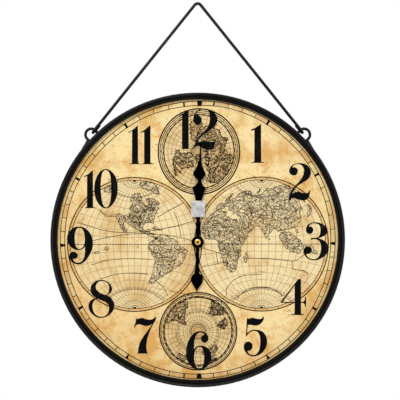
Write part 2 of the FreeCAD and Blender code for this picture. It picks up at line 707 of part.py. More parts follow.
def build_shell():
    half = "shell_side / 2"
    shell = new_body("movement_case", z=AXIS_Z)
    sketch = sketch_on(shell, "XZ_Plane", "shell_back")
    draw_box(sketch, f"-{half}", half, f"-{half}", half)
    outside = pad(shell, sketch, f"{SHELL_FRONT} - shell_back")
    dress(shell, "Fillet", outside, corner_edge, "Radius", "shell_corner")

    sketch = sketch_on(shell, "XZ_Plane", SHELL_FLOOR)
    draw_box(sketch, f"-{SHELL_INSIDE}", SHELL_INSIDE, TRAIN_FLOOR, SHELL_INSIDE)
    pocket(shell, sketch, f"{SHELL_FLOOR} - shell_back + overrun")
    sketch = sketch_on(shell, "XZ_Plane", SHELL_FLOOR)
    draw_box(sketch, f"-{SHELL_INSIDE}", SHELL_INSIDE, f"-{SHELL_INSIDE}", BAY_TOP)
    pocket(shell, sketch, f"{SHELL_FLOOR} - shell_back + overrun")
    sketch = sketch_on(shell, "XZ_Plane", COVER_FRONT)
    draw_box(sketch, f"-{half} - overrun", f"{half} + overrun", BAY_TOP, f"{half} + overrun")
    pocket(shell, sketch, f"{COVER_FRONT} - shell_back + overrun")

    sketch = sketch_on(shell, "XZ_Plane", "bridge_front")
    for x in (f"-{PILLAR_X}", PILLAR_X):
        for z in (PILLAR_LOW, PILLAR_X):
            draw_circle(sketch, "pillar_diameter / 2", x, z)
    pad(shell, sketch, f"{SHELL_FLOOR} - bridge_front")

    sketch = sketch_on(shell, "XZ_Plane", SHELL_FRONT)
    draw_circle(sketch, "stem_diameter / 2")
    pad(shell, sketch, f"{STEM_TIP} - {SHELL_FRONT}")
    sketch = sketch_on(shell, "XZ_Plane", STEM_TIP)
    draw_circle(sketch, "hour_tube_diameter / 2 + running_clearance")
    pocket(shell, sketch, f"{STEM_TIP} - {SHELL_FLOOR} + overrun")
    sketch = sketch_on(shell, "XZ_Plane", f"{SHELL_FLOOR} + pivot_depth")
    draw_circle(sketch, "motion_arbor_diameter / 2 + running_clearance", MOTION_X, MOTION_Z)
    pocket(shell, sketch, "pivot_depth + overrun")

    cover = new_body("movement_cover", z=AXIS_Z)
    sketch = sketch_on(cover, "XZ_Plane", "shell_back")
    draw_box(sketch, f"-{half}", half, BAY_TOP, half)
    plate = pad(cover, sketch, "shell_wall")
    upper = mm("shell_side / 4")
    dress(cover, "Fillet", plate, lambda edge: corner_edge(edge) and edge.BoundBox.Center.z > upper,
          "Radius", "shell_corner")
    sketch = sketch_on(cover, "XZ_Plane", COVER_FRONT)
    draw_circle(sketch, "second_arbor_diameter / 2 + running_clearance")
    for x, z in ((THIRD_X, THIRD_Z), (INTERMEDIATE_X, INTERMEDIATE_Z), (ROTOR_X, ROTOR_Z)):
        draw_circle(sketch, "train_arbor_diameter / 2 + running_clearance", x, z)
    pocket(cover, sketch, "pivot_depth")
    sketch = sketch_on(cover, "XZ_Plane", COVER_FRONT)
    draw_circle(sketch, "motion_arbor_diameter / 2 + running_clearance", MOTION_X, MOTION_Z)
    pocket(cover, sketch, "shell_wall + overrun")
    sketch = sketch_on(cover, "XZ_Plane", COVER_FRONT)
    for x, z in ((f"-{PILLAR_X}", PILLAR_LOW), (PILLAR_X, PILLAR_LOW), (f"-{PILLAR_X}", PILLAR_X)):
        draw_circle(sketch, "pillar_diameter / 2", x, z)
    pad(cover, sketch, f"{BRIDGE_BACK} - {COVER_FRONT}")

    bridge = new_body("train_bridge", z=AXIS_Z)
    sketch = sketch_on(bridge, "XZ_Plane", BRIDGE_BACK)
    inside = f"({SHELL_INSIDE} - bridge_clearance)"
    notch_left = "(stator_left + stator_leg - bobbin_clearance)"
    notch_right = "(stator_right - stator_leg + bobbin_clearance)"
    notch_low = "(core_line - bobbin_diameter / 2 - bridge_clearance)"
    draw_polygon(sketch, [
        (f"-{inside}", f"{TRAIN_FLOOR} + bridge_clearance"),
        (inside, f"{TRAIN_FLOOR} + bridge_clearance"),
        (inside, inside),
        (notch_right, inside),
        (notch_right, notch_low),
        (notch_left, notch_low),
        (notch_left, inside),
        (f"-{inside}", inside),
    ])
    draw_circle(sketch, "minute_tube_diameter / 2 + running_clearance")
    draw_circle(sketch, "motion_arbor_diameter / 2 + running_clearance", MOTION_X, MOTION_Z)
    for x, z in ((THIRD_X, THIRD_Z), (INTERMEDIATE_X, INTERMEDIATE_Z), (ROTOR_X, ROTOR_Z)):
        draw_circle(sketch, "train_arbor_diameter / 2 + running_clearance", x, z)
    pad(bridge, sketch, "bridge_thickness")


# Washers and nut that clamp the movement to the board

def build_stem_fixings():
    washer = new_body("rubber_washer", z=AXIS_Z)
    sketch = sketch_on(washer, "XZ_Plane", SHELL_FRONT)
    draw_circle(sketch, "rubber_washer_diameter / 2")
    draw_circle(sketch, STEM_HOLE)
    pad(washer, sketch, "rubber_washer_thickness")

    washer = new_body("stem_washer", z=AXIS_Z)
    sketch = sketch_on(washer, "XZ_Plane", DIAL_FACE)
    draw_circle(sketch, "brass_washer_diameter / 2")
    draw_circle(sketch, STEM_HOLE)
    pad(washer, sketch, "brass_washer_thickness")

    nut = new_body("stem_nut", z=AXIS_Z)
    sketch = sketch_on(nut, "XZ_Plane", f"{DIAL_FACE} + brass_washer_thickness")
    corners = [
        (f"nut_across_flats / 2 * {math.cos(math.radians(60 * n + 30)) / math.cos(math.radians(30)):.9f}",
         f"nut_across_flats / 2 * {math.sin(math.radians(60 * n + 30)) / math.cos(math.radians(30)):.9f}")
        for n in range(6)
    ]
    draw_polygon(sketch, corners)
    draw_circle(sketch, "stem_diameter / 2 + running_clearance")
    pad(nut, sketch, "nut_thickness")


# Motion work and hands

def build_hand(runs, length, head, back):
    """A stamped hand: its blade, and the round boss with the hole for its arbor."""
    rear = mm(back)
    front = rear + mm("hand_gauge")
    outline = mirrored_outline(runs, mm(length), mm(head) / 2, rear)
    blade = Part.Face(outline).extrude(FreeCAD.Vector(0, rear - front, 0))
    return fused(blade, disc(mm("hand_boss_diameter / 2"), rear, front))


def build_hour_pieces():
    rear = mm("hour_hand_back")
    front = mm("hour_hand_back + hand_gauge")
    tube_tip = front + mm("tube_past_hand")
    collet = mm("hour_collet_diameter / 2")
    tube = mm("hour_tube_diameter / 2")
    blade = build_hand(HOUR_RUN_SHARES, "hour_hand_length", "hour_hand_head", "hour_hand_back")
    blade.rotate(FreeCAD.Vector(0, 0, 0), FreeCAD.Vector(0, 1, 0), HOUR_HAND_DEG)
    blade = blade.cut(disc((collet + tube) / 2, rear, front))
    add_shape("hour_hand", blade, z=AXIS_Z)

    flange_back = rear - mm("collet_flange")
    bush = fused(disc((collet + tube) / 2, rear, front), disc(collet, flange_back, rear))
    add_shape("hour_collet", bush.cut(disc(tube, flange_back, front)), z=AXIS_Z)

    back = mm("hour_wheel_back")
    module = module_of("motion_centres", MOTION_PINION_TEETH, HOUR_TEETH)
    rim = toothed(HOUR_TEETH, module, MOTION_DEG, False, back, back + mm("motion_gauge"))
    bore = mm("minute_tube_diameter / 2 + running_clearance")
    wheel = fused(rim, disc(tube, back, tube_tip)).cut(disc(bore, back, tube_tip))
    add_shape("hour_wheel", wheel, z=AXIS_Z)


def build_minute_pieces():
    rear = mm("minute_hand_back")
    front = mm("minute_hand_back + hand_gauge")
    thread = mm("minute_thread_diameter / 2")
    blade = build_hand(MINUTE_RUN_SHARES, "minute_hand_length", "minute_hand_head", "minute_hand_back")
    blade.rotate(FreeCAD.Vector(0, 0, 0), FreeCAD.Vector(0, 1, 0), MINUTE_HAND_DEG)
    blade = blade.cut(disc(thread, rear, front))
    add_shape("minute_hand", blade, z=AXIS_Z)

    back = mm("centre_wheel_back - level_gap")
    cannon_back = mm("cannon_back")
    module = module_of("motion_centres", CANNON_TEETH, MOTION_WHEEL_TEETH)
    cannon = toothed(CANNON_TEETH, module, MOTION_DEG, True, cannon_back, cannon_back + mm("motion_gauge"))
    thread_tip = front + mm("hand_nut_height - hand_nut_cap")
    arbor = fused(disc(mm("minute_tube_diameter / 2"), back, rear), cannon, disc(thread, rear, thread_tip))
    bore = mm("second_arbor_diameter / 2 + running_clearance")
    add_shape("minute_arbor", arbor.cut(disc(bore, back, thread_tip)), z=AXIS_Z)

    nut = new_body("hand_nut", z=AXIS_Z)
    nut_back = "(minute_hand_back + hand_gauge)"
    base = turn(nut, [
        ("minute_thread_diameter / 2", nut_back),
        ("hand_nut_diameter / 2", nut_back),
        ("hand_nut_diameter / 2", f"{nut_back} + hand_nut_lip"),
        ("hand_nut_neck_diameter / 2", f"{nut_back} + hand_nut_lip"),
        ("hand_nut_neck_diameter / 2", f"{nut_back} + hand_nut_height"),
        ("hand_nut_hole_diameter / 2", f"{nut_back} + hand_nut_height"),
        ("hand_nut_hole_diameter / 2", f"{nut_back} + hand_nut_height - hand_nut_cap"),
        ("minute_thread_diameter / 2", f"{nut_back} + hand_nut_height - hand_nut_cap"),
    ])
    edges = round_edge_at(f"{nut_back} + hand_nut_height", ["hand_nut_neck_diameter / 2"])
    dress(nut, "Chamfer", base, edges, "Size", f"hand_nut_height * {NUT_CHAMFER_SHARE}")

    film = new_body("shipping_film", z=AXIS_Z)
    sketch = sketch_on(film, "XZ_Plane", "minute_hand_back + hand_gauge")
    draw_box(sketch, "tab_film_shift - tab_film_width / 2", "tab_film_shift + tab_film_width / 2",
             "tab_film_station - tab_film_height / 2", "tab_film_station + tab_film_height / 2")
    pad(film, sketch, "tab_film_thickness")


def build_setting_pieces():
    back = mm("cannon_back")
    front = back + mm("motion_gauge")
    wheel_module = module_of("motion_centres", CANNON_TEETH, MOTION_WHEEL_TEETH)
    pinion_module = module_of("motion_centres", MOTION_PINION_TEETH, HOUR_TEETH)
    pinion_front = mm("hour_wheel_back + motion_gauge + level_gap")
    arbor = mm("motion_arbor_diameter / 2")
    knob_front = mm("knob_back + knob_height")
    tip = mm(SHELL_FLOOR + " + pivot_depth") - mm("level_gap")
    wheel = fused(
        toothed(MOTION_WHEEL_TEETH, wheel_module, MOTION_DEG + 180, False, back, front),
        toothed(MOTION_PINION_TEETH, pinion_module, MOTION_DEG + 180, True, front, pinion_front),
        disc(arbor, knob_front, tip),
    )
    add_shape("motion_wheel", wheel, MOTION_X, AXIS_Z + " + " + MOTION_Z)

    knob = new_body("setting_knob", MOTION_X, AXIS_Z + " + " + MOTION_Z)
    sketch = sketch_on(knob, "XZ_Plane", "knob_back")
    draw_circle(sketch, "knob_diameter / 2")
    grip = pad(knob, sketch, "knob_height")
    dress(knob, "Chamfer", grip, round_edge_at("knob_back", ["knob_diameter / 2"]),
          "Size", f"knob_height * {KNOB_CHAMFER_SHARE}")


# Going train: the second, third, centre and intermediate wheels and the rotor

def build_train():
    pinion_teeth = TRAIN_PINION_TEETH
    slow_module = module_of("third_centres", pinion_teeth, THIRD_TEETH)
    centre_module = module_of("third_centres", pinion_teeth, CENTRE_TEETH)
    second_module = module_of("intermediate_centres", pinion_teeth, SECOND_TEETH)
    rotor_module = module_of("rotor_centres", pinion_teeth, INTERMEDIATE_TEETH)
    gauge = mm("wheel_gauge")
    gap = mm("level_gap")
    pivot_back = mm(COVER_FRONT + " - pivot_depth") + gap
    bridge_front = mm("bridge_front")
    arbor = mm("train_arbor_diameter / 2")

    back = mm("centre_wheel_back")
    hub = mm("minute_tube_diameter / 2")
    bore = hub + mm("running_clearance")
    wheel = fused(
        toothed(CENTRE_TEETH, centre_module, THIRD_DEG, False, back, back + gauge),
        disc(2 * hub, back, mm(BRIDGE_BACK) - gap),
    )
    add_shape("centre_wheel", wheel.cut(disc(bore, back, bridge_front)), z=AXIS_Z)

    back = mm("second_wheel_back")
    second_tip = mm("minute_hand_back + hand_gauge + hand_nut_height - hand_nut_cap") - gap
    pinion_front = mm("third_wheel_back") + gauge + gap
    wheel = fused(
        toothed(SECOND_TEETH, second_module, INTERMEDIATE_DEG, False, back, back + gauge),
        toothed(pinion_teeth, slow_module, THIRD_DEG, True, back + gauge, pinion_front),
        disc(mm("second_arbor_diameter / 2"), pivot_back, second_tip),
    )
    add_shape("second_wheel", wheel, z=AXIS_Z)

    back = mm("third_wheel_back")
    pinion_front = mm("centre_wheel_back") + gauge + gap
    wheel = fused(
        toothed(THIRD_TEETH, slow_module, THIRD_DEG + 180, False, back, back + gauge),
        toothed(pinion_teeth, centre_module, THIRD_DEG + 180, True, back + gauge, pinion_front),
        disc(arbor, pivot_back, bridge_front),
    )
    add_shape("third_wheel", wheel, THIRD_X, AXIS_Z + " + " + THIRD_Z)

    back = mm("intermediate_wheel_back")
    pinion_back = mm("second_wheel_back") - gap
    wheel = fused(
        toothed(INTERMEDIATE_TEETH, rotor_module, ROTOR_DEG, False, back, back + gauge),
        toothed(pinion_teeth, second_module, INTERMEDIATE_DEG + 180, True, pinion_back, back),
        disc(arbor, pivot_back, bridge_front),
    )
    add_shape("intermediate_wheel", wheel, INTERMEDIATE_X, AXIS_Z + " + " + INTERMEDIATE_Z)

    pinion_back = mm("intermediate_wheel_back") - gap
    magnet_back = mm("magnet_back")
    magnet_front = magnet_back + mm("magnet_height")
    pinion = fused(
        toothed(pinion_teeth, rotor_module, ROTOR_DEG + 180, True, pinion_back, magnet_back),
        disc(arbor, pivot_back, bridge_front),
    )
    add_shape("rotor_pinion", pinion, ROTOR_X, AXIS_Z + " + " + ROTOR_Z)
    magnet = disc(mm("magnet_diameter / 2"), magnet_back, magnet_front, arbor)
    add_shape("rotor_magnet", magnet, ROTOR_X, AXIS_Z + " + " + ROTOR_Z)


# Stepping motor: stator, core, bobbin and winding

def build_motor():
    stator = new_body("stator", z=AXIS_Z)
    sketch = sketch_on(stator, "XZ_Plane", f"{BRIDGE_BACK} - stator_gauge")
    low = f"({ROTOR_Z} - stator_bar / 2)"
    bar_top = f"({ROTOR_Z} + stator_bar / 2)"
    draw_polygon(sketch, [
        ("stator_left", low),
        ("stator_right", low),
        ("stator_right", "stator_top"),
        ("stator_right - stator_leg", "stator_top"),
        ("stator_right - stator_leg", bar_top),
        ("stator_left + stator_leg", bar_top),
        ("stator_left + stator_leg", "stator_top"),
        ("stator_left", "stator_top"),
    ])
    draw_circle(sketch, "magnet_diameter / 2 + stator_air_gap", ROTOR_X, ROTOR_Z)
    pad(stator, sketch, "stator_gauge")

    core_front = f"({BRIDGE_BACK} - stator_gauge)"
    core = new_body("coil_core", z=AXIS_Z)
    sketch = sketch_on(core, "XZ_Plane", f"{core_front} - stator_gauge")
    draw_box(sketch, "stator_left", "stator_right",
             "core_line - core_height / 2", "core_line + core_height / 2")
    pad(core, sketch, "stator_gauge")

    left = mm("stator_left + stator_leg + bobbin_clearance")
    right = mm("stator_right - stator_leg - bobbin_clearance")
    line = mm("core_line")
    depth = mm(f"{core_front} - stator_gauge / 2")
    cheek = mm("bobbin_cheek")
    wall = mm("bobbin_wall")
    high = mm("core_height / 2")
    thick = mm("stator_gauge / 2")

    def tube_along_x(radius, start, end):
        return Part.makeCylinder(radius, end - start, at(start, depth, line), FreeCAD.Vector(1, 0, 0))

    def bar(margin, start, end):
        return block(start, end, line - high - margin, line + high + margin,
                     depth - thick - margin, depth + thick + margin)

    cheeks = mm("bobbin_diameter / 2")
    bobbin = fused(
        tube_along_x(cheeks, left, left + cheek),
        bar(wall, left, right),
        tube_along_x(cheeks, right - cheek, right),
    )
    add_shape("coil_bobbin", bobbin.cut(bar(0, left, right)), z=AXIS_Z)
    winding = tube_along_x(mm("coil_diameter / 2"), left + cheek, right - cheek)
    add_shape("coil_winding", winding.cut(bar(wall, left, right)), z=AXIS_Z)


# Circuit: board, crystal and the cap over the chip

def build_circuit():
    left = "(pillar_inset + pillar_diameter / 2 + bridge_clearance - shell_side / 2)"
    top = f"({SHELL_INSIDE} - bridge_clearance - bay_wall)"
    circuit = new_body("circuit_board", z=AXIS_Z)
    sketch = sketch_on(circuit, "XZ_Plane", f"{BRIDGE_BACK} - circuit_gauge")
    draw_box(sketch, left, f"{left} + circuit_width", f"{top} - circuit_height", top)
    pad(circuit, sketch, "circuit_gauge")

    back = mm(f"{BRIDGE_BACK} - circuit_gauge")
    crystal_x = mm(f"{left} + circuit_width * {CRYSTAL_SHARES[0]}")
    crystal_z = mm(f"{top} - circuit_height * {CRYSTAL_SHARES[1]}")
    radius = mm("crystal_diameter / 2")
    can = Part.makeCylinder(radius, mm("crystal_length"), at(crystal_x, back - radius, crystal_z),
                            FreeCAD.Vector(1, 0, 0))
    add_shape("quartz_crystal", can, z=AXIS_Z)

    rear = f"{BRIDGE_BACK} - circuit_gauge - chip_height"
    cap = new_body("chip_cap", f"{left} + circuit_width * {CHIP_SHARES[0]}",
                   f"{AXIS_Z} + {top} - circuit_height * {CHIP_SHARES[1]}")
    sketch = sketch_on(cap, "XZ_Plane", rear)
    draw_circle(sketch, "chip_diameter / 2")
    base = pad(cap, sketch, "chip_height")
    dress(cap, "Fillet", base, round_edge_at(rear, ["chip_diameter / 2"]),
          "Radius", f"chip_height * {CHIP_ROUND_SHARE}")


# Cell and its contacts

def build_cell():
    plus_face = mm(f"{SHELL_INSIDE} - contact_gauge - contact_clearance")
    length = mm("cell_length")
    nub = mm("cell_nub_height")
    rim = mm("cell_end_rim")
    sleeve = mm("cell_sleeve_gauge")
    outside = mm("cell_diameter / 2")
    axis_z = mm(CELL_Z)
    depth = mm(CELL_DEPTH)
    start = plus_face - length

    def along_cell(radius, first, last):
        return Part.makeCylinder(radius, last - first, at(first, depth, axis_z), FreeCAD.Vector(1, 0, 0))

    body_end = plus_face - nub
    can = fused(
        along_cell(outside - sleeve, start, body_end),
        along_cell(mm("cell_nub_diameter / 2"), body_end, plus_face),
    )
    add_shape("cell_can", can, z=AXIS_Z)
    wrap = along_cell(outside, start + rim, body_end - rim).cut(
        along_cell(outside - sleeve, start + rim, body_end - rim))
    add_shape("cell_sleeve", wrap, z=AXIS_Z)

    plus = new_body("contact_plus", z=AXIS_Z)
    sketch = sketch_on(plus, "XZ_Plane", f"{CELL_DEPTH} - contact_height / 2")
    draw_box(sketch, f"{SHELL_INSIDE} - contact_gauge", SHELL_INSIDE,
             f"{CELL_Z} - contact_width / 2", f"{CELL_Z} + contact_width / 2")
    pad(plus, sketch, "contact_height")

    gauge = mm("contact_gauge")
    half = mm("contact_height / 2")
    wall = -mm(SHELL_INSIDE)
    bow = start - mm("contact_clearance")
    rear, front = depth - half, depth + half
    strip = [
        (wall, rear), (wall, front), (wall + gauge, front), (wall + gauge, rear + gauge),
        (bow - gauge, depth), (wall + 2 * gauge, front - gauge), (wall + 3 * gauge, front - gauge),
        (bow, depth), (wall + gauge, rear),
    ]
    corners = [at(x, level, axis_z - mm("contact_width / 2")) for x, level in strip]
    face = Part.Face(Part.makePolygon(corners + corners[:1]))
    add_shape("contact_minus", face.extrude(FreeCAD.Vector(0, 0, mm("contact_width"))), z=AXIS_Z)


def check_and_write():
    DOC.recompute()
    for item in DOC.Objects:
        if {"Invalid", "Error"} & set(item.State):
            raise RuntimeError(f"{item.Label} is {item.State}")
    for node in NODES:
        if node.Shape.isNull() or not node.Shape.isValid() or not node.Shape.Solids:
            raise RuntimeError(f"{node.Label} has no valid solid")
    os.makedirs("parts", exist_ok=True)
    for node in NODES:
        node.Shape.exportStep(f"parts/{node.Label}.step")
        print(f"{node.Label}: {len(node.Shape.Solids)} solid, {node.Shape.Volume:.1f} mm3")


fill_sheet()
build_rim()
build_dial()
build_eye("eye_left", -1)
build_eye("eye_right", 1)
build_hanger()
build_shell()
build_stem_fixings()
build_hour_pieces()
build_minute_pieces()
build_setting_pieces()
build_train()
build_motor()
build_circuit()
build_cell()
check_and_write()
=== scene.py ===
"""World time clock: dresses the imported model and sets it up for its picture."""

import json
import logging
import math
import random
from collections.abc import Callable, Iterator, Mapping, Sequence
from dataclasses import dataclass, replace
from enum import Enum

import bpy
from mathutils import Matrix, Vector

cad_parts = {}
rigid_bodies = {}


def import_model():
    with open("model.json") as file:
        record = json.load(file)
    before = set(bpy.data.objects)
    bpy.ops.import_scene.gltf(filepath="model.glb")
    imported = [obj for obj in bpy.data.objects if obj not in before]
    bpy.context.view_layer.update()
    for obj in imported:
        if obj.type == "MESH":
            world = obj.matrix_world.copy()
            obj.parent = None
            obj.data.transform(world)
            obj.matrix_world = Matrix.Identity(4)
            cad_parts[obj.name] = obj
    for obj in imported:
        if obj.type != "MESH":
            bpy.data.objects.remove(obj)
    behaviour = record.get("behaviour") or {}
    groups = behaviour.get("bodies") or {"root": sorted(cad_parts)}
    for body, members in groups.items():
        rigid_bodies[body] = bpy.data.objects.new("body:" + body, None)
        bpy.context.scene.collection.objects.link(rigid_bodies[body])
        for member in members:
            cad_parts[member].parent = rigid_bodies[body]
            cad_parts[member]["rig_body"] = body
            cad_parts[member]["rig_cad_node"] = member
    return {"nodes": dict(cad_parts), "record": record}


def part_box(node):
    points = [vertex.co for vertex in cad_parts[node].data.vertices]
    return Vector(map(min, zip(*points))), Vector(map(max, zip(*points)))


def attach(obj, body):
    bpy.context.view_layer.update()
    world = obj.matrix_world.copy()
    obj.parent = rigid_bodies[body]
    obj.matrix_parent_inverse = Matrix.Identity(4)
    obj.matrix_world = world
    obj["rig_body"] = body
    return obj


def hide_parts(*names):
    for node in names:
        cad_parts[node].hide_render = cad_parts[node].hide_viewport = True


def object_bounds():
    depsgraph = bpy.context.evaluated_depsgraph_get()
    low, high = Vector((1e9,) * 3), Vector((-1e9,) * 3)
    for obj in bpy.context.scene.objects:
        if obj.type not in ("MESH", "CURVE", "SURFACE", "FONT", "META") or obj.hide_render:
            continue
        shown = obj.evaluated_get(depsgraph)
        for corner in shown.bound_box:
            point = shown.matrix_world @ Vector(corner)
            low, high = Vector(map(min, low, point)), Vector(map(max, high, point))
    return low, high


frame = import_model()
AT_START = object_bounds()

Flat = tuple[float, float]
Place = tuple[float, float, float]
Colour = tuple[int, int, int]
Outline = Sequence[Flat]
Piece = bpy.types.Object
Node = bpy.types.Node
Socket = bpy.types.NodeSocket

# In metres: a millimetre, the height of the print's middle, how far a weld reaches, and how deep a grain is
MM = 0.001
DIAL_Z = -0.2448
WELD = 2e-6
GRAIN_DEPTH = 0.0002
# In millimetres: depth of the paper's front, and thickness of a printed layer
PAPER_FRONT = 25.3
PRINT = 0.03
# Height of a line of ink over half its width
INK_SHARE = 0.12
WHITE = (1.0, 1.0, 1.0, 1.0)
UPRIGHT = (math.pi / 2, 0.0, 0.0)
CORNER = "corner"

